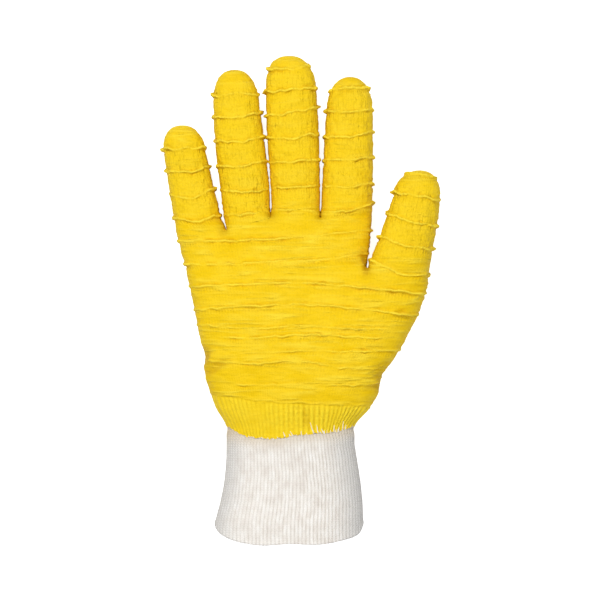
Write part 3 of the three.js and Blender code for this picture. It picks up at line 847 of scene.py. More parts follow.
def lined_branch(form, root, last, inset):
    """Rings of an inner face, from a root ring up to a last line."""
    start = [knot.co.y for knot in root]
    rings = [root]
    for share in (0.25, 0.5, 0.75, 1.0):
        rings.append(plain_ring(form, root, [y + ROOT_BLEND * share for y in start], inset, ROOT_BLEND))
    low = [y + ROOT_BLEND for y in start]
    for t in shares_between(low, last, INNER_STEP):
        rings.append(plain_ring(form, root, [mix(a, b, t) for a, b in zip(low, last)], inset, 0))
    return rings


def lined_finger(bm, form, root, layers):
    """A finger's inner face, closed at its tip."""
    top = form.finger["dome"]["start"] - SHELL_WALL
    rings = lined_branch(form, root, [top] * len(root), SHELL_WALL)
    rings += dome_rings(form, rings[-1], SHELL_WALL, INNER_DOME_STEP)
    sew_tube(bm, rings, form, layers, LINING_FACES)


def finger_root_heights(places, inset):
    heights = []
    for place in places:
        web = next((w for w, share in enumerate(WEB_SHARES) if abs(place.share - share) < 1e-6), None)
        flat = place.face in ("front", "back")
        y = FINGER_WEB_HEIGHTS[web] - WEB_DIP if flat and web is not None else along(FINGER_ROOT, place.share)
        if place.face == "back" and web is None:
            y = line_height(FINGER_ROOT, place)
        heights.append(y - inset * WEB_DEPTH)
    return heights


FINGER_COUNTS = [FINGER_COLUMNS] * len(FINGERS)
whole = Trunk(HAND, hand_stops, FINGER_COUNTS + [THUMB_COLUMNS], level=0)
upper = Trunk(KNUCKLES, knuckle_stops, FINGER_COUNTS, level=10)
thumb_form = Finger(THUMB, THUMB_COLUMNS)
finger_forms = [Finger(f, FINGER_COLUMNS) for f in FINGERS]
count_places(whole)
number_places(upper, level=25)
number_places(thumb_form, level=40, start=upper.round)
for number, form in enumerate(finger_forms):
    number_places(form, level=60, start=number * FINGER_PITCH)


def edge_heights(places):
    bow = COAT_EDGE_BACK - mix(COAT_EDGE[0], COAT_EDGE[-1], 0.5)
    return [line_height(COAT_EDGE, p, bow) for p in places]


def ragged_edge(places):
    """The coat's lower edge, drawn up a little between the ribs."""
    heights = []
    for p, y in zip(places, edge_heights(places)):
        heights.append(y + 0.7 * wave(p.along / 2.4, 2.0, 0.5) - 0.2 * rib_wave(p, y) - 0.3)
    return heights


def rib_share(co, place, seam):
    """How strongly the ribs of the knit wrist show through the coat."""
    thumb_side = 0.35 if co.x > -8 else 0.0
    patch = clamp(0.75 + 0.9 * wave(place.along / 12, co.y / 14, 2.2) + thumb_side, 0.35, 1.3)
    return ease((seam - co.y) / 2.5) * patch


def below_seam_out(co, place, shown, edge):
    """The ribs' height, and the coat thinning out at its edge."""
    thin = ease((edge + EDGE_TAPER - co.y) / EDGE_TAPER)
    return RIB_SHOW * shown * rib_wave(place, co.y) - (COAT_SKIN - COAT_EDGE_SKIN) * thin


def inner_ring(line, depth):
    """A ring of the hand's inner face, which follows the folds of its outer face."""
    ring = [Knot(whole.point(i, y, depth)) for i, y in enumerate(line)]
    for knot in ring:
        knot.out = -fold_out(knot.co)
    return ring


def hand_skin(rim, edge, seam, thumb_root):
    """Rings of the hand's outer face, from the coat's lower edge up to the thumb's root."""
    ridges = [SEAM_RIDGE] + [dict(r, bow=0.8) for r in HAND_RIDGES]
    rings = coat_rows(whole, rim, ridges, thumb_root, blend=0, seed=10.0)
    for ring in rings:
        for i, knot in enumerate(ring):
            knot.above_edge = min(FAR, knot.co.y - edge[i])
    for ring in rings[1:]:
        for i, (knot, place) in enumerate(zip(ring, whole.places)):
            knot.ribbed = rib_share(knot.co, place, seam[i])
            if knot.co.y < seam[i]:
                fold = fold_out(knot.co)
                calmed = (knot.out - fold) * mix(1.0, 0.35, ease((seam[i] - 1.5 - knot.co.y) / 2))
                ribs = below_seam_out(knot.co, place, knot.ribbed, edge[i])
                knot.out = max(calmed + ribs, THINNEST_SKIN - COAT_SKIN) + fold
    return rings


def hand_lining(rim, edge, seam, thumb_root):
    """Rings of the hand's inner face. Below the seam it lies close behind the coat, round the rib knit."""
    rings = [rim]
    for share in SKIN_SHARES:
        rings.append(inner_ring([mix(a, b + SEAM_GAP, share) for a, b in zip(edge, seam)], COAT_SKIN))
    rings.append(inner_ring([y + SEAM_GAP + LEDGE for y in seam], SHELL_WALL))
    for t in shares_between(seam, thumb_root, INNER_STEP):
        rings.append(inner_ring([mix(a + 1.0, b, t) for a, b in zip(seam, thumb_root)], SHELL_WALL))
    return rings


def coat_mesh():
    """The whole hand: its outer face and then its lining, each up from the coat's lower edge."""
    bm = bmesh.new()
    layers = {label: bm.verts.layers.float.new(label) for label in KNOT_LAYERS}
    layers["uv"] = bm.loops.layers.uv.new("UVMap")
    edge = ragged_edge(whole.places)
    seam = [line_height(SEAM, p, SEAM_RIDGE["bow"]) for p in whole.places]
    rim = [Knot(whole.point(i, y, COAT_SKIN - COAT_EDGE_SKIN)) for i, y in enumerate(edge)]
    for inset, hand_rings, faces in ((0, hand_skin, LATEX_FACES), (SHELL_WALL, hand_lining, LINING_FACES)):
        thumb_root = [line_height(THUMB_ROOT, p, 1) - inset * WEB_DEPTH for p in whole.places]
        rings = hand_rings(rim, edge, seam, thumb_root)
        sew_tube(bm, rings, whole, layers, faces)
        palm_root, thumb_knots = branch_roots(rings[-1], [sum(FINGER_COUNTS), THUMB_COLUMNS])
        finger_line = finger_root_heights(upper.places, inset)
        if inset:
            lined_finger(bm, thumb_form, thumb_knots, layers)
            rings = lined_branch(upper, palm_root, finger_line, inset)
        else:
            coat_finger(bm, thumb_form, thumb_knots, layers, seed=31.0)
            ridges = [dict(r, bow=-0.8) for r in KNUCKLE_RIDGES]
            rings = coat_rows(upper, palm_root, ridges, finger_line, ROOT_BLEND, seed=20.0)
        sew_tube(bm, rings, upper, layers, faces)
        for n, root in enumerate(branch_roots(rings[-1], FINGER_COUNTS)):
            if inset:
                lined_finger(bm, finger_forms[n], root, layers)
            else:
                coat_finger(bm, finger_forms[n], root, layers, seed=40.0 + 7 * n)
    bmesh.ops.remove_doubles(bm, verts=bm.verts, dist=MERGE)
    bmesh.ops.recalc_face_normals(bm, faces=bm.faces)
    return bm, layers


def smooth_crotches(bm, crotches):
    """Softens the webs and roots before the coat's relief goes on."""
    near = []
    for v in bm.verts:
        close = any((v.co - spot).length < CROTCH_REACH * MM for spot in crotches)
        if close and v.link_faces[0].material_index == LATEX_FACES:
            near.append(v)
    for _ in range(CROTCH_PASSES):
        bmesh.ops.smooth_vert(bm, verts=near, factor=0.5, use_axis_x=True, use_axis_y=True, use_axis_z=True)


def mark_crotches(bm, layers, crotches, thumb_crotches):
    """Paints shade into the webs' colour, and swells the fold at the thumb's root."""
    crease, out = layers["crease"], layers["out"]
    for v in bm.verts:
        near = min((v.co - spot).length for spot in crotches)
        v[crease] = clamp(v[crease] + 0.8 * math.exp(-((near / (CROTCH_SHADE * MM)) ** 2)), 0, 1)
        near_thumb = min((v.co - spot).length for spot in thumb_crotches)
        v[out] += 0.7 * math.exp(-((near_thumb / (CROTCH_REACH * MM)) ** 2))


def sharpen_rim(bm, layers):
    """Keeps the coat's shading clean right down to its lower edge."""
    above = layers["above_edge"]
    for e in bm.edges:
        if all(v[above] < 0.01 for v in e.verts):
            e.smooth = False


def raise_coat(bm, layers):
    """Moves each vertex out by its own amount, and never through what the glove lies on."""
    bm.normal_update()
    out = layers["out"]
    for v in bm.verts:
        v.co += v.normal * (v[out] * MM)
        v.co.z = max(v.co.z, 0.0)


def full_section(sections, y, inset):
    s = inset_section(sections, y, inset)
    return dict(dict(lift=0, hollow=0, power=2.5), **s)


def even_outline(s, shear):
    """Points round a section at even steps, from the middle of its left side over the front."""
    fine = 720
    raw = []
    for k in range(fine):
        angle = math.pi - 2 * math.pi * k / fine
        power = s["power"] if math.sin(angle) > 0 else BACK_POWER
        across = math.copysign(abs(math.cos(angle)) ** (2 / s["power"]), math.cos(angle))
        up = math.copysign(abs(math.sin(angle)) ** (2 / power), math.sin(angle))
        raw.append(Vector(spot_point(s, across, up, PRESS)))
    lengths = [0.0]
    for k in range(fine):
        lengths.append(lengths[-1] + (raw[(k + 1) % fine] - raw[k]).length)
    steps = RIBS * RIB_STEPS
    points = []
    k = 0
    for n in range(steps):
        share = n / steps
        target = lengths[-1] * (share + shear * math.sin(2 * math.pi * share))
        while lengths[k + 1] < target:
            k += 1
        t = (target - lengths[k]) / max(1e-9, lengths[k + 1] - lengths[k])
        points.append(raw[k].lerp(raw[(k + 1) % fine], t))
    return points


def coat_edge_by_x():
    """Where the coat's lower edge lies, front and back, as a height for each place across."""
    sides = {"front": [], "back": []}
    for i, y in enumerate(edge_heights(whole.places)):
        spot = whole.point(i, y, COAT_SKIN)
        sides["front" if spot.z > FRONT_ABOVE else "back"].append((spot.x, y))

    def read(x, face):
        line = sorted(sides[face])
        if x <= line[0][0]:
            return line[0][1]
        for (x0, y0), (x1, y1) in zip(line, line[1:]):
            if x <= x1:
                return mix(y0, y1, (x - x0) / max(1e-6, x1 - x0))
        return line[-1][1]

    return read


def knit_outlines():
    """Outlines of each face of the tube at even levels: as it hangs, and as it lies under the coat."""
    outlines = {}
    for inset in (0, KNIT_WALL):
        for name, sections, extra in (("hanging", WRIST, 0), ("covered", HAND, COAT_SKIN + 0.05)):
            lines = []
            for k in range(KNIT_LEVELS + 1):
                y = mix(KNIT_LOW, KNIT_HIGH, k / KNIT_LEVELS)
                shear = RIB_SHEAR * clamp((-70 - y) / 60, 0, 1)
                lines.append(even_outline(full_section(sections, y, inset + extra), shear))
            outlines[inset, name] = lines
    return outlines


def knit_shade_and_soil(point, below_edge, left):
    """How much painted shadow and beige stain a point takes from the coat's edge, and how much soil and
    painted shade along the wrist's folded sides.
    """
    # The painted shadow is wider and darker at the little finger's corner.
    corner = 0.6 * math.exp(-(((point.x - left) / 5) ** 2))
    shaded = math.exp(-((below_edge / (4.5 + 5 * corner)) ** 2)) * (0.72 + 0.8 * corner)
    sides = section_at(WRIST, point.y)
    little_side = 0.8 * math.exp(-(((point.x - sides["left"]) / 8) ** 2))
    return shaded, little_side + math.exp(-(((sides["right"] - point.x) / 12) ** 2))


def knit_level(y):
    """A height as a place among the tube's levels."""
    return clamp((y - KNIT_LOW) / (KNIT_HIGH - KNIT_LOW), 0, 1) * KNIT_LEVELS


def knit_mesh():
    """A ribbed tube, from its hem to the seam under the coat, with its inner face."""
    bm = bmesh.new()
    uv = bm.loops.layers.uv.new("UVMap")
    steps = RIBS * RIB_STEPS
    outlines = knit_outlines()

    def read(inset, n, y, tucked):
        place = knit_level(y)
        k = min(KNIT_LEVELS - 1, int(place))

        def between(lines):
            return lines[k][n].lerp(lines[k + 1][n], place - k)

        return between(outlines[inset, "hanging"]).lerp(between(outlines[inset, "covered"]), tucked)

    hem, top, edge = [], [], []
    coat_edge = coat_edge_by_x()
    middle = outlines[0, "hanging"][KNIT_LEVELS // 2]
    at_edge = outlines[0, "covered"][round(knit_level(COAT_EDGE_LEVEL))]
    left, right = min(p.x for p in middle), max(p.x for p in middle)
    for n, spot in enumerate(middle):
        share = clamp((spot.x - left) / (right - left), 0, 1)
        place = Place("front" if spot.y > FRONT_ABOVE else "back")
        place.share = math.acos(1 - 2 * share) / math.pi if place.face == "front" else share
        hem.append(line_height(HEM, place, HEM_BACK - HEM[0]))
        place.share = share
        top.append(line_height(SEAM, place, SEAM_RIDGE["bow"]))
        edge.append(coat_edge(at_edge[n].x, place.face))
    rib_noise = [0.6 + 0.7 * random.random() for _ in range(RIBS)]

    def rib(n, y):
        phase = (n % RIB_STEPS) / RIB_STEPS
        number = n // RIB_STEPS % RIBS
        uneven = rib_noise[number] * (1 + 0.9 * wave(number * 0.83, y / 3.5, 6.0))
        return RIB_DEPTH * uneven * (abs(math.sin(math.pi * phase)) ** 0.6 - 0.75)

    def ring(inset, share):
        knots = []
        for n in range(steps):
            y = mix(hem[n], top[n], share)
            tucked = ease((y - edge[n] + TUCK) / TUCK)
            flat = read(inset, n, y, tucked)
            ahead, behind = read(inset, (n + 2) % steps, y, tucked), read(inset, (n - 2) % steps, y, tucked)
            tangent = (ahead - behind).normalized()
            outward = Vector((-tangent.y, tangent.x))
            sway = 0.4 * wave(n * 0.03, y / 9, 1.0)
            roll = 0.35 * math.exp(-(((y - hem[n]) / 1.6) ** 2))
            covered = ease((y - edge[n] + 0.4) / 1.2)
            swell = 0.1 * math.exp(-(((y - edge[n] + 1.0) / 2.0) ** 2))
            amount = rib(n, y) + roll + swell if inset == 0 else -rib(n + RIB_STEPS // 2, y) - roll * 0.5
            amount = mix(amount, -FLATTENED if inset == 0 else 0.0, covered)
            fold = fold_out(Vector((flat.x, y, flat.y))) * covered
            flat = flat + tangent * sway + outward * (amount + fold)
            knots.append(Vector((flat.x, y + 0.15 * wave(n * 0.35, 4.0, 2.0), max(flat.y, 0.02))))
        return knots

    rings = [ring(0, (k / KNIT_OUTER_ROWS) ** 1.1) for k in range(KNIT_OUTER_ROWS + 1)]
    rings += [ring(KNIT_WALL, 1 - k / KNIT_INNER_ROWS) for k in range(KNIT_INNER_ROWS + 1)]
    rings.append(rings[0])
    rows = len(rings) - 1
    shaded = bm.verts.layers.float.new("shaded")
    soil_and_side_shade = bm.verts.layers.float.new("soil_and_side_shade")
    grid = bmesh.ops.create_grid(bm, x_segments=steps, y_segments=rows, size=1)
    spots = {v: (round((v.co.x + 1) / 2 * steps), round((v.co.y + 1) / 2 * rows)) for v in grid["verts"]}
    for f in bm.faces:
        f.smooth = True
        for loop in f.loops:
            i, j = spots[loop.vert]
            loop[uv].uv = (i / RIB_STEPS, rings[j][i % steps].y)
    for v, (i, j) in spots.items():
        point = rings[j][i % steps]
        v[shaded], v[soil_and_side_shade] = knit_shade_and_soil(point, max(0.0, edge[i % steps] - point.y), left)
        v.co = point * MM
    bmesh.ops.remove_doubles(bm, verts=bm.verts, dist=MERGE)
    bmesh.ops.recalc_face_normals(bm, faces=bm.faces)
    return bm


def mesh_object(name, bm, materials):
    data = bpy.data.meshes.new(name)
    bm.to_mesh(data)
    bm.free()
    for material in materials:
        data.materials.append(material)
    made = bpy.data.objects.new(name, data)
    bpy.context.scene.collection.objects.link(made)
    return made


def top_at(surfaces, x, y):
    hits = [s.ray_cast(Vector((x * MM, y * MM, 0.2)), Vector((0, 0, -1)))[0] for s in surfaces]
    return max(hit.z for hit in hits if hit)


def bare_yarn_mesh(surfaces):
    """Tapering strands of uncoated rib that lie on the coat's lower edge."""
    bm = bmesh.new()
    count = 11
    for yarn in BARE_YARNS:
        line = []
        for k in range(count):
            share = k / (count - 1)
            x = mix(yarn["foot"][0], yarn["tip"][0], share) + 0.3 * wave(share * 1.6, yarn["tip"][0], 3.0)
            y = mix(yarn["foot"][1], yarn["tip"][1], share)
            line.append(Vector((x * MM, y * MM, top_at(surfaces, x, y))))
        tube = bmesh.ops.create_cone(
            bm, cap_ends=True, cap_tris=False, segments=8, radius1=1, radius2=1, depth=2
        )
        edges = {e for v in tube["verts"] for e in v.link_edges}
        long_edges = [e for e in edges if abs(e.verts[0].co.z - e.verts[1].co.z) > 1]
        bmesh.ops.subdivide_edges(bm, edges=long_edges, cuts=count - 2, use_grid_fill=False)
        for v in [v for v in bm.verts if not v.tag]:
            share = (v.co.z + 1) / 2
            k = min(count - 2, int(share * (count - 1)))
            centre = line[k].lerp(line[k + 1], share * (count - 1) - k)
            width = mix(0.42, 0.1, share) * MM
            v.co = centre + Vector((v.co.x * width, 0, v.co.y * 0.16 * MM + 0.02 * MM))
            v.tag = True
    bmesh.ops.recalc_face_normals(bm, faces=bm.faces)
    for f in bm.faces:
        f.smooth = True
    return bm


# Materials


def new_group(name, inputs, outputs):
    """A node group. An input is a float at its default, or a vector where it has none; outputs are floats."""
    group = bpy.data.node_groups.new(name, "ShaderNodeTree")
    for label, value in inputs.items():
        kind = "NodeSocketVector" if value is None else "NodeSocketFloat"
        socket = group.interface.new_socket(name=label, in_out="INPUT", socket_type=kind)
        if value is not None:
            socket.default_value = value
    for label in outputs:
        group.interface.new_socket(name=label, in_out="OUTPUT", socket_type="NodeSocketFloat")
    return group, group.nodes.new("NodeGroupInput"), group.nodes.new("NodeGroupOutput")


def math_node(tree, operation, a, b=None):
    node = tree.nodes.new("ShaderNodeMath")
    node.operation = operation
    for socket, value in zip(node.inputs, (a, b)):
        if value is None:
            continue
        if isinstance(value, (int, float)):
            socket.default_value = value
        else:
            tree.links.new(value, socket)
    return node.outputs[0]


def times(tree, product, *factors):
    for factor in factors:
        product = math_node(tree, "MULTIPLY", product, factor)
    return product


def linear(tree, value, factor, offset, clamped=False):
    node = math_node(tree, "MULTIPLY_ADD", value, factor).node
    node.inputs[2].default_value = offset
    node.use_clamp = clamped
    return node.outputs[0]


def knit_group():
    """Columns of knit stitches. Along counts columns, and Up is a length in the same unit as Stitch."""
    inputs = dict(Along=0.0, Up=0.0, Stitch=1.4, Slant=0.45)
    group, given, result = new_group("knit stitches", inputs, ("Height", "Groove"))
    fraction = math_node(group, "FRACT", given.outputs["Along"])
    off = math_node(group, "ABSOLUTE", math_node(group, "SUBTRACT", fraction, 0.5))
    row = math_node(group, "DIVIDE", given.outputs["Up"], given.outputs["Stitch"])
    slanted = math_node(group, "ADD", row, times(group, off, given.outputs["Slant"]))
    loop = linear(group, math_node(group, "SINE", times(group, slanted, 2 * math.pi)), 0.5, 0.5)
    groove = math_node(group, "SMOOTH_MIN", times(group, off, 2.0), 1.0)
    valley = math_node(group, "POWER", groove, 3.0)
    group.links.new(math_node(group, "SUBTRACT", loop, valley), result.inputs["Height"])
    group.links.new(valley, result.inputs["Groove"])
    return group


def mottle_group():
    """Soft uneven patches at one size."""
    group, given, result = new_group("mottle", dict(Vector=None, Size=100.0, Detail=3.0), ("Value",))
    tex = group.nodes.new("ShaderNodeTexNoise")
    group.links.new(given.outputs["Vector"], tex.inputs["Vector"])
    group.links.new(given.outputs["Size"], tex.inputs["Scale"])
    group.links.new(given.outputs["Detail"], tex.inputs["Detail"])
    group.links.new(tex.outputs["Fac"], result.inputs["Value"])
    return group


def crease_line_group():
    """Thin raised lines that wander and join, as on a crinkled skin."""
    group, given, result = new_group("crinkle lines", dict(Vector=None, Size=500.0, Width=0.03), ("Height",))
    tex = group.nodes.new("ShaderNodeTexNoise")
    tex.inputs["Detail"].default_value = 1.0
    tex.inputs["Distortion"].default_value = 0.3
    group.links.new(given.outputs["Vector"], tex.inputs["Vector"])
    group.links.new(given.outputs["Size"], tex.inputs["Scale"])
    off = math_node(group, "SUBTRACT", tex.outputs["Fac"], 0.5)
    off = math_node(group, "DIVIDE", off, given.outputs["Width"])
    squared = math_node(group, "ADD", times(group, off, off), 1.0)
    group.links.new(math_node(group, "DIVIDE", 1.0, squared), result.inputs["Height"])
    return group


def beside_group():
    """A soft band at a set distance from a line."""
    inputs = dict(Distance=0.0, Place=0.0, Width=0.5)
    group, given, result = new_group("band beside a line", inputs, ("Mask",))
    off = math_node(group, "SUBTRACT", given.outputs["Distance"], given.outputs["Place"])
    share = math_node(group, "DIVIDE", off, given.outputs["Width"])
    mask = math_node(group, "EXPONENT", times(group, times(group, share, share), -1.0))
    group.links.new(mask, result.inputs["Mask"])
    return group


KNIT = knit_group()
MOTTLE = mottle_group()
LINES = crease_line_group()
BESIDE = beside_group()


def new_material(name, roughness, specular):
    material = bpy.data.materials.new(name)
    material.use_nodes = True
    shader = material.node_tree.nodes["Principled BSDF"]
    shader.inputs["Roughness"].default_value = roughness
    shader.inputs["Specular IOR Level"].default_value = specular
    return material, material.node_tree, shader


def placed_group(tree, group, **values):
    node = tree.nodes.new("ShaderNodeGroup")
    node.node_tree = group
    for key, value in values.items():
        if isinstance(value, bpy.types.NodeSocket):
            tree.links.new(value, node.inputs[key])
        else:
            node.inputs[key].default_value = value
    return node


def stretched(tree, scale, shift=(0.0, 0.0, 0.0)):
    """Object coordinates, scaled apart along each axis, then shifted."""
    coords = tree.nodes.new("ShaderNodeTexCoord")
    mapping = tree.nodes.new("ShaderNodeMapping")
    mapping.inputs["Scale"].default_value = scale
    mapping.inputs["Location"].default_value = shift
    tree.links.new(coords.outputs["Object"], mapping.inputs["Vector"])
    return mapping.outputs["Vector"]


def uv_parts(tree):
    node = tree.nodes.new("ShaderNodeUVMap")
    node.uv_map = "UVMap"
    parts = tree.nodes.new("ShaderNodeSeparateXYZ")
    tree.links.new(node.outputs["UV"], parts.inputs[0])
    return parts.outputs["X"], parts.outputs["Y"]


def across_by(tree):
    """The place across the glove, in metres towards the thumb side."""
    coords = tree.nodes.new("ShaderNodeTexCoord")
    parts = tree.nodes.new("ShaderNodeSeparateXYZ")
    tree.links.new(coords.outputs["Object"], parts.inputs[0])
    return parts.outputs["X"]


def attribute(tree, name):
    node = tree.nodes.new("ShaderNodeAttribute")
    node.attribute_name = name
    return node.outputs["Fac"]


def ramp(tree, factor, stops):
    node = tree.nodes.new("ShaderNodeValToRGB")
    elements = node.color_ramp.elements
    while len(elements) < len(stops):
        elements.new(0.5)
    for element, (position, colour) in zip(elements, stops):
        element.position = position
        element.color = (*colour, 1)
    tree.links.new(factor, node.inputs["Fac"])
    return node.outputs["Color"]


def blend_colour(tree, factor, a, b, mode="MIX"):
    node = tree.nodes.new("ShaderNodeMix")
    node.data_type = "RGBA"
    node.blend_type = mode
    for socket, value in ((node.inputs[0], factor), (node.inputs[6], a), (node.inputs[7], b)):
        if isinstance(value, bpy.types.NodeSocket):
            tree.links.new(value, socket)
        elif isinstance(value, (int, float)):
            socket.default_value = value
        else:
            socket.default_value = (*value, 1)
    return node.outputs[2]


def bump(tree, height, distance, strength, under=None):
    node = tree.nodes.new("ShaderNodeBump")
    node.inputs["Distance"].default_value = distance
    node.inputs["Strength"].default_value = strength
    tree.links.new(height, node.inputs["Height"])
    if under:
        tree.links.new(under, node.inputs["Normal"])
    return node.outputs["Normal"]


def mottle(tree, scale, size, detail):
    """Soft patches on Object coordinates."""
    node = placed_group(tree, MOTTLE, Vector=stretched(tree, scale), Size=size, Detail=detail)
    return node.outputs["Value"]


def mottle_round(tree, round_by, up, scale, detail):
    """Soft patches that follow the glove's own columns and rows."""
    place = tree.nodes.new("ShaderNodeCombineXYZ")
    for socket, value, factor in zip(place.inputs, (round_by, up), scale):
        tree.links.new(times(tree, value, factor), socket)
    return placed_group(tree, MOTTLE, Vector=place.outputs[0], Size=1.0, Detail=detail).outputs["Value"]


def crinkle_lines(tree, scale, size, width, shift=(0.0, 0.0, 0.0)):
    node = placed_group(tree, LINES, Vector=stretched(tree, scale, shift), Size=size, Width=width)
    return node.outputs["Height"]


def band_beside(tree, distance, place, width):
    return placed_group(tree, BESIDE, Distance=distance, Place=place, Width=width).outputs["Mask"]


def bare_slivers(tree, round_by, up):
    """Where the rib's cotton shows between tapering tongues of latex at the coat's lower edge."""
    thumb_side = linear(tree, across_by(tree), 50.0, 0.8, True)
    spike = linear(tree, mottle_round(tree, round_by, up, (0.75, 0.06), 1.5), 7.0, -4.0, True)
    reach = times(tree, spike, linear(tree, thumb_side, 1.5, 0.6))
    return linear(tree, math_node(tree, "SUBTRACT", reach, attribute(tree, "above_edge")), 2.5, 0.3, True)


# Colours of the coat: its own patches, and what lies over them
LATEX_PATCHES = [(0.3, (0.84, 0.55, 0.001)), (0.5, (0.875, 0.585, 0.006)), (0.7, (0.905, 0.62, 0.016))]
LATEX = dict(
    crazed=(0.93, 0.65, 0.02),
    over_ribs_light=(0.97, 0.705, 0.025),
    crease_shade=(0.50, 0.265, 0.0),
    ridge_foot_shade=(0.70, 0.41, 0.0),
    ridge_crest_highlight=(0.97, 0.74, 0.045),
    rib_hollow_shade=(0.66, 0.40, 0.0),
    rib_crest_highlight=(0.985, 0.745, 0.03),
    wale_shade=(0.66, 0.38, 0.0),
    wrinkle_shadow=(0.70, 0.42, 0.0),
    wrinkle_highlight=(0.955, 0.72, 0.04),
    crack=(0.66, 0.39, 0.0),
)
COTTON_PATCHES = [(0.3, (0.80, 0.745, 0.69)), (0.5, (0.885, 0.845, 0.795)), (0.7, (0.945, 0.92, 0.885))]
COTTON = dict(
    bare=(0.93, 0.89, 0.82),
    groove=(0.63, 0.56, 0.48),
    soil_and_side_shade=(0.62, 0.605, 0.585),
    edge_shadow_and_stain=(0.66, 0.56, 0.42),
)
WALE_PITCH = 1.6  # from one column of the knit under the coat to the next, in the unit of Place.along


def latex_material():
    material, tree, shader = new_material("yellow latex", 0.55, 0.15)
    shader.inputs["IOR"].default_value = 1.35
    crease, ribbed, crazed = attribute(tree, "crease"), attribute(tree, "ribbed"), attribute(tree, "crazed")
    gap, ridge = attribute(tree, "gap"), attribute(tree, "ridge")
    round_by, up = uv_parts(tree)
    colour = ramp(tree, mottle(tree, (1, 2.2, 1), 75.0, 5.0), LATEX_PATCHES)
    colour = blend_colour(tree, times(tree, crazed, 0.35), colour, LATEX["crazed"])
    # Painted light: the coat over the ribs is lighter where it slopes away from the lamps.
    colour = blend_colour(tree, times(tree, ribbed, 0.7), colour, LATEX["over_ribs_light"])
    # Painted shade in the creases, dents and webs.
    colour = blend_colour(tree, crease, colour, LATEX["crease_shade"])

    # A ridge has a painted highlight on its crest, and here and there painted shade at its feet.
    crest = times(tree, band_beside(tree, gap, 0.0, 0.45), ridge)
    foot = band_beside(tree, gap, -0.9, 0.34)
    feet = math_node(tree, "MAXIMUM", foot, times(tree, band_beside(tree, gap, 0.95, 0.38), 0.6))
    uneven = linear(tree, mottle(tree, (1, 1, 1), 210.0, 1.0), 3.4, -1.1, True)
    colour = blend_colour(tree, times(tree, feet, uneven, ridge, 0.85), colour, LATEX["ridge_foot_shade"])
    colour = blend_colour(tree, linear(tree, crest, 1.3, 0.0, True), colour, LATEX["ridge_crest_highlight"])

    # Wrinkles across the glove come in bands and near the fingertips; the fingers also craze lengthways.
    bands = linear(tree, mottle(tree, (0.4, 1.0, 0.4), 130.0, 2.0), 4.0, -1.5, True)
    off_arcs = math_node(tree, "ABSOLUTE", math_node(tree, "SUBTRACT", crazed, 0.3))
    bands = math_node(tree, "MAXIMUM", bands, linear(tree, off_arcs, -5.0, 1.0, True))
    above_seam = linear(tree, ribbed, -2.5, 1.0, True)
    calm = linear(tree, crazed, -0.7, 1.0)
    line_mask = times(tree, bands, above_seam, calm)
    drawn_out, line_size, below_line = (0.08, 1.0, 0.08), 300.0, (0, LINE_SHADOW, 0)
    # Each fine line gets a painted highlight, and a painted shadow just below it.
    long_lines = times(tree, crinkle_lines(tree, drawn_out, line_size, 0.055), line_mask)
    line_shadows = times(tree, crinkle_lines(tree, drawn_out, line_size, 0.07, below_line), line_mask)
    crack = times(tree, crinkle_lines(tree, (1.0, 0.3, 1.0), 360.0, 0.05), crazed, bands)
    lengthways = times(tree, mottle(tree, (1.0, 0.55, 1.0), 330.0, 2.5), crazed)
    wrinkles = mottle(tree, (0.25, 1.0, 0.25), 800.0, 3.0)
    grain = mottle(tree, (1, 1, 1), 1500.0, 3.0)

    # The knit under the coat shows as faint columns, most of all just below a ridge.
    wale = times(tree, math_node(tree, "SINE", times(tree, round_by, 2 * math.pi / WALE_PITCH)), above_seam)
    under_ridge = times(tree, band_beside(tree, gap, -2.0, 1.3), ridge)
    wales = times(tree, wale, linear(tree, under_ridge, 0.8, 0.3))

    # Below the seam the ribs of the wrist show through, in broken strokes.
    ribs = math_node(tree, "ABSOLUTE", math_node(tree, "COSINE", times(tree, round_by, math.pi / RIB_PITCH)))
    stroke = linear(tree, mottle_round(tree, round_by, up, (0.4, 0.45), 2.0), 2.6, -0.6, True)

    fine = times(tree, wrinkles, linear(tree, above_seam, 0.7, 0.3))
    reliefs = [
        (long_lines, 0.00045, 0.9),
        (math_node(tree, "SUBTRACT", 1.0, crack), 0.0002, 0.8),
        (lengthways, 0.0018, 0.9),
        (fine, 0.0007, 0.8),
        (times(tree, ribs, stroke, ribbed), 0.00055, 0.7),
        (wales, 0.0001, 0.8),
        (grain, 0.00035, 0.6),
    ]
    normal = None
    for height, distance, strength in reliefs:
        normal = bump(tree, height, distance, strength, normal)
    tree.links.new(normal, shader.inputs["Normal"])

    # Below the seam the rib hollows take painted shade and the rib crests a painted highlight, stronger
    # towards the thumb side.
    thumb_side = linear(tree, across_by(tree), 9.0, 0.85, True)
    shown = times(tree, ribbed, linear(tree, stroke, 0.75, 0.25), thumb_side)
    smooth = linear(tree, crease, -2.0, 1.0, True)
    # Painted shade in the knit's columns just below each ridge, and in the cracks.
    washes = [
        (times(tree, math_node(tree, "SUBTRACT", 1.0, ribs), shown, 0.5), "rib_hollow_shade"),
        (times(tree, math_node(tree, "POWER", ribs, 3.0), shown, smooth, 0.8), "rib_crest_highlight"),
        (times(tree, linear(tree, wale, -0.5, 0.5), times(tree, under_ridge, 0.12)), "wale_shade"),
        (times(tree, line_shadows, 0.45), "wrinkle_shadow"),
        (times(tree, crack, 0.14), "crack"),
        (times(tree, long_lines, 0.8), "wrinkle_highlight"),
    ]
    for share, name in washes:
        colour = blend_colour(tree, share, colour, LATEX[name])
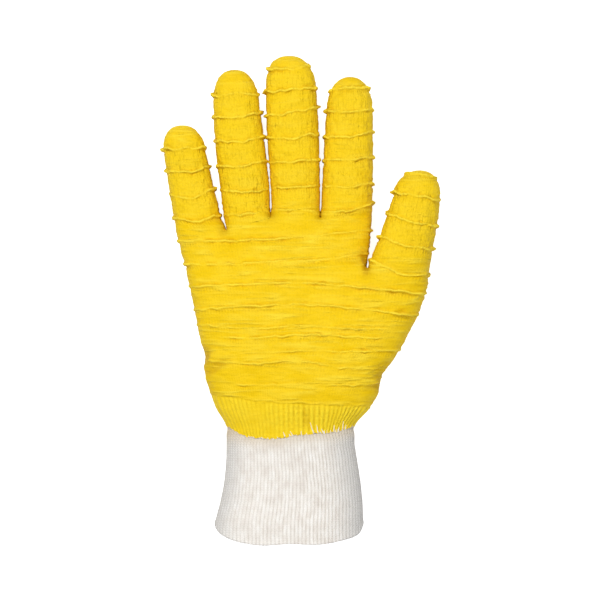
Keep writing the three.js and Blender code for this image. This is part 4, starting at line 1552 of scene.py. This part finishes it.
    # Painted shading: the colour darkens and lightens with the fine wrinkles, the grain and each column of
    # the knit under the coat.
    wrinkle_shading = times(tree, linear(tree, wrinkles, 0.14, -0.07), calm)
    relief = math_node(tree, "ADD", wrinkle_shading, linear(tree, grain, 0.16, 0.92))
    relief = math_node(tree, "ADD", relief, times(tree, wale, 0.012))
    painted_shading = tree.nodes.new("ShaderNodeCombineXYZ")
    for socket in painted_shading.inputs:
        tree.links.new(relief, socket)
    colour = blend_colour(tree, 1.0, colour, painted_shading.outputs[0], "MULTIPLY")
    colour = blend_colour(tree, bare_slivers(tree, round_by, up), colour, COTTON["bare"])
    tree.links.new(colour, shader.inputs["Base Color"])
    rough = ramp(tree, wrinkles, [(0.3, (0.62,) * 3), (0.7, (0.48,) * 3)])
    tree.links.new(rough, shader.inputs["Roughness"])
    return material


def rib_material():
    material, tree, shader = new_material("cotton rib knit", 0.95, 0.1)
    along_by, up = uv_parts(tree)
    stitches = placed_group(tree, KNIT, Along=along_by, Up=up, Stitch=1.3, Slant=0.9)
    colour = ramp(tree, mottle(tree, (1, 0.6, 1), 260.0, 4.0), COTTON_PATCHES)
    broken = linear(tree, mottle(tree, (1, 0.25, 1), 900.0, 3.0), 2.4, -0.5, True)
    # The grooves between the ribs take painted shade, which shows less towards the little finger's side,
    # where the ribs lie closer.
    thumb_side = linear(tree, across_by(tree), 11.0, 0.85, True)
    groove = times(tree, stitches.outputs["Groove"], broken, thumb_side)
    colour = blend_colour(tree, groove, colour, COTTON["groove"])
    # Painted shading that follows the stitches' height.
    loops = linear(tree, stitches.outputs["Height"], 0.08, 0.95)
    painted_shading = ramp(tree, loops, [(0.0, (0.0,) * 3), (1.0, (1.0,) * 3)])
    colour = blend_colour(tree, 1.0, colour, painted_shading, "MULTIPLY")
    # The cotton is greyer along its folded sides, partly soil and partly painted shade where the sides turn
    # from the light, and beige next to the coat, partly stain and partly painted shadow of the coat's edge.
    colour = blend_colour(tree, attribute(tree, "soil_and_side_shade"), colour, COTTON["soil_and_side_shade"])
    # Painted shadow of the coat's edge, with a slight beige stain.
    colour = blend_colour(tree, attribute(tree, "shaded"), colour, COTTON["edge_shadow_and_stain"])
    tree.links.new(colour, shader.inputs["Base Color"])
    normal = bump(tree, stitches.outputs["Height"], 0.00022, 0.6)
    normal = bump(tree, mottle(tree, (1, 1, 1), 2400.0, 3.0), 0.0003, 0.35, normal)
    tree.links.new(normal, shader.inputs["Normal"])
    return material


def jersey_material():
    material, tree, shader = new_material("cotton jersey", 0.95, 0.1)
    round_by, up = uv_parts(tree)
    wale = math_node(tree, "DIVIDE", round_by, 1.5)
    stitches = placed_group(tree, KNIT, Along=wale, Up=up, Stitch=1.3, Slant=0.7)
    # Painted shade in the grooves between the stitches.
    groove = times(tree, stitches.outputs["Groove"], 0.5)
    colour = blend_colour(tree, groove, (0.84, 0.78, 0.70), (0.62, 0.55, 0.47))
    tree.links.new(colour, shader.inputs["Base Color"])
    tree.links.new(bump(tree, stitches.outputs["Height"], 0.0002, 0.6), shader.inputs["Normal"])
    return material


def yarn_material():
    material, tree, shader = new_material("bare cotton yarn", 0.95, 0.1)
    twist = mottle(tree, (1, 0.4, 1), 1800.0, 3.0)
    colour = ramp(tree, twist, [(0.35, (0.82, 0.74, 0.60)), (0.65, COTTON["bare"])])
    tree.links.new(colour, shader.inputs["Base Color"])
    tree.links.new(bump(tree, twist, 0.0002, 0.5), shader.inputs["Normal"])
    return material


def floor_material():
    material, tree, shader = new_material("pale floor", 0.9, 0.1)
    colour = ramp(tree, mottle(tree, (1, 1, 1), 3.0, 2.0), [(0.3, (0.80,) * 3), (0.7, (0.82,) * 3)])
    tree.links.new(colour, shader.inputs["Base Color"])
    # The floor glows faintly, as a light table does.
    shader.inputs["Emission Color"].default_value = (1, 1, 1, 1)
    seen = tree.nodes.new("ShaderNodeLightPath").outputs["Is Camera Ray"]
    tree.links.new(times(tree, seen, FLOOR_GLOW), shader.inputs["Emission Strength"])
    return material


# The glove

bm, layers = coat_mesh()
thumb_crotches = [Vector((*THUMB_CROTCH, z)) * MM for z in THUMB_WEB_LEVELS]
crotches = [Vector((x, y, z)) * MM for x, y in zip(FINGER_WEBS, FINGER_WEB_HEIGHTS) for z in WEB_LEVELS]
crotches += thumb_crotches
smooth_crotches(bm, crotches)
mark_crotches(bm, layers, crotches, thumb_crotches)
raise_coat(bm, layers)
sharpen_rim(bm, layers)
surface = BVHTree.FromBMesh(bm)
coat = mesh_object("crinkled_coat", bm, [latex_material(), jersey_material()])
knit = knit_mesh()
surfaces = [surface, BVHTree.FromBMesh(knit)]
wrist = mesh_object("rib_knit_wrist", knit, [rib_material()])
yarns = mesh_object("bare_yarns", bare_yarn_mesh(surfaces), [yarn_material()])

for piece in (coat, wrist, yarns):
    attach(piece, "root")
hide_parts("coated_hand")
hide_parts("knit_wrist")

# Floor, light and camera

floor_mesh = bmesh.new()
bmesh.ops.create_grid(floor_mesh, x_segments=4, y_segments=4, size=3.0)
for v in floor_mesh.verts:
    v.co.z = -0.0003
floor = mesh_object("floor", floor_mesh, [floor_material()])


def soft_light(name, place, size, power, colour):
    data = bpy.data.lights.new(name, "AREA")
    data.shape = "DISK"
    data.size = size
    data.energy = power
    data.color = colour
    lamp = bpy.data.objects.new(name, data)
    lamp.location = place
    lamp.rotation_mode = "QUATERNION"
    lamp.rotation_quaternion = (-Vector(place)).to_track_quat("-Z", "Y")
    bpy.context.scene.collection.objects.link(lamp)


soft_light("key", (-0.28, 0.72, 1.32), 0.4, 12.3, (1.0, 0.99, 0.97))
soft_light("fill", (0.06, -0.72, 1.42), 1.2, 6.8, (0.97, 0.985, 1.0))
world = bpy.data.worlds.new("pale room")
world.use_nodes = True
world.node_tree.nodes["Background"].inputs["Color"].default_value = (1, 1, 1, 1)
world.node_tree.nodes["Background"].inputs["Strength"].default_value = ROOM_LIGHT
bpy.context.scene.world = world

# The picture takes in 327 mm each way, and looks straight down on the palm.
CAMERA_HEIGHT = 2.5
FIELD = 0.327
FIELD_LEVEL = 0.018  # the height at which it takes in that much
SENSOR = 36
camera_data = bpy.data.cameras.new("camera")
camera_data.sensor_width = SENSOR
camera_data.lens = SENSOR * (CAMERA_HEIGHT - FIELD_LEVEL) / FIELD
camera_data.clip_end = 50
camera = bpy.data.objects.new("camera", camera_data)
camera.location = (0, 0, CAMERA_HEIGHT)
bpy.context.scene.collection.objects.link(camera)
bpy.context.scene.camera = camera
bpy.context.scene.view_settings.view_transform = "Standard"
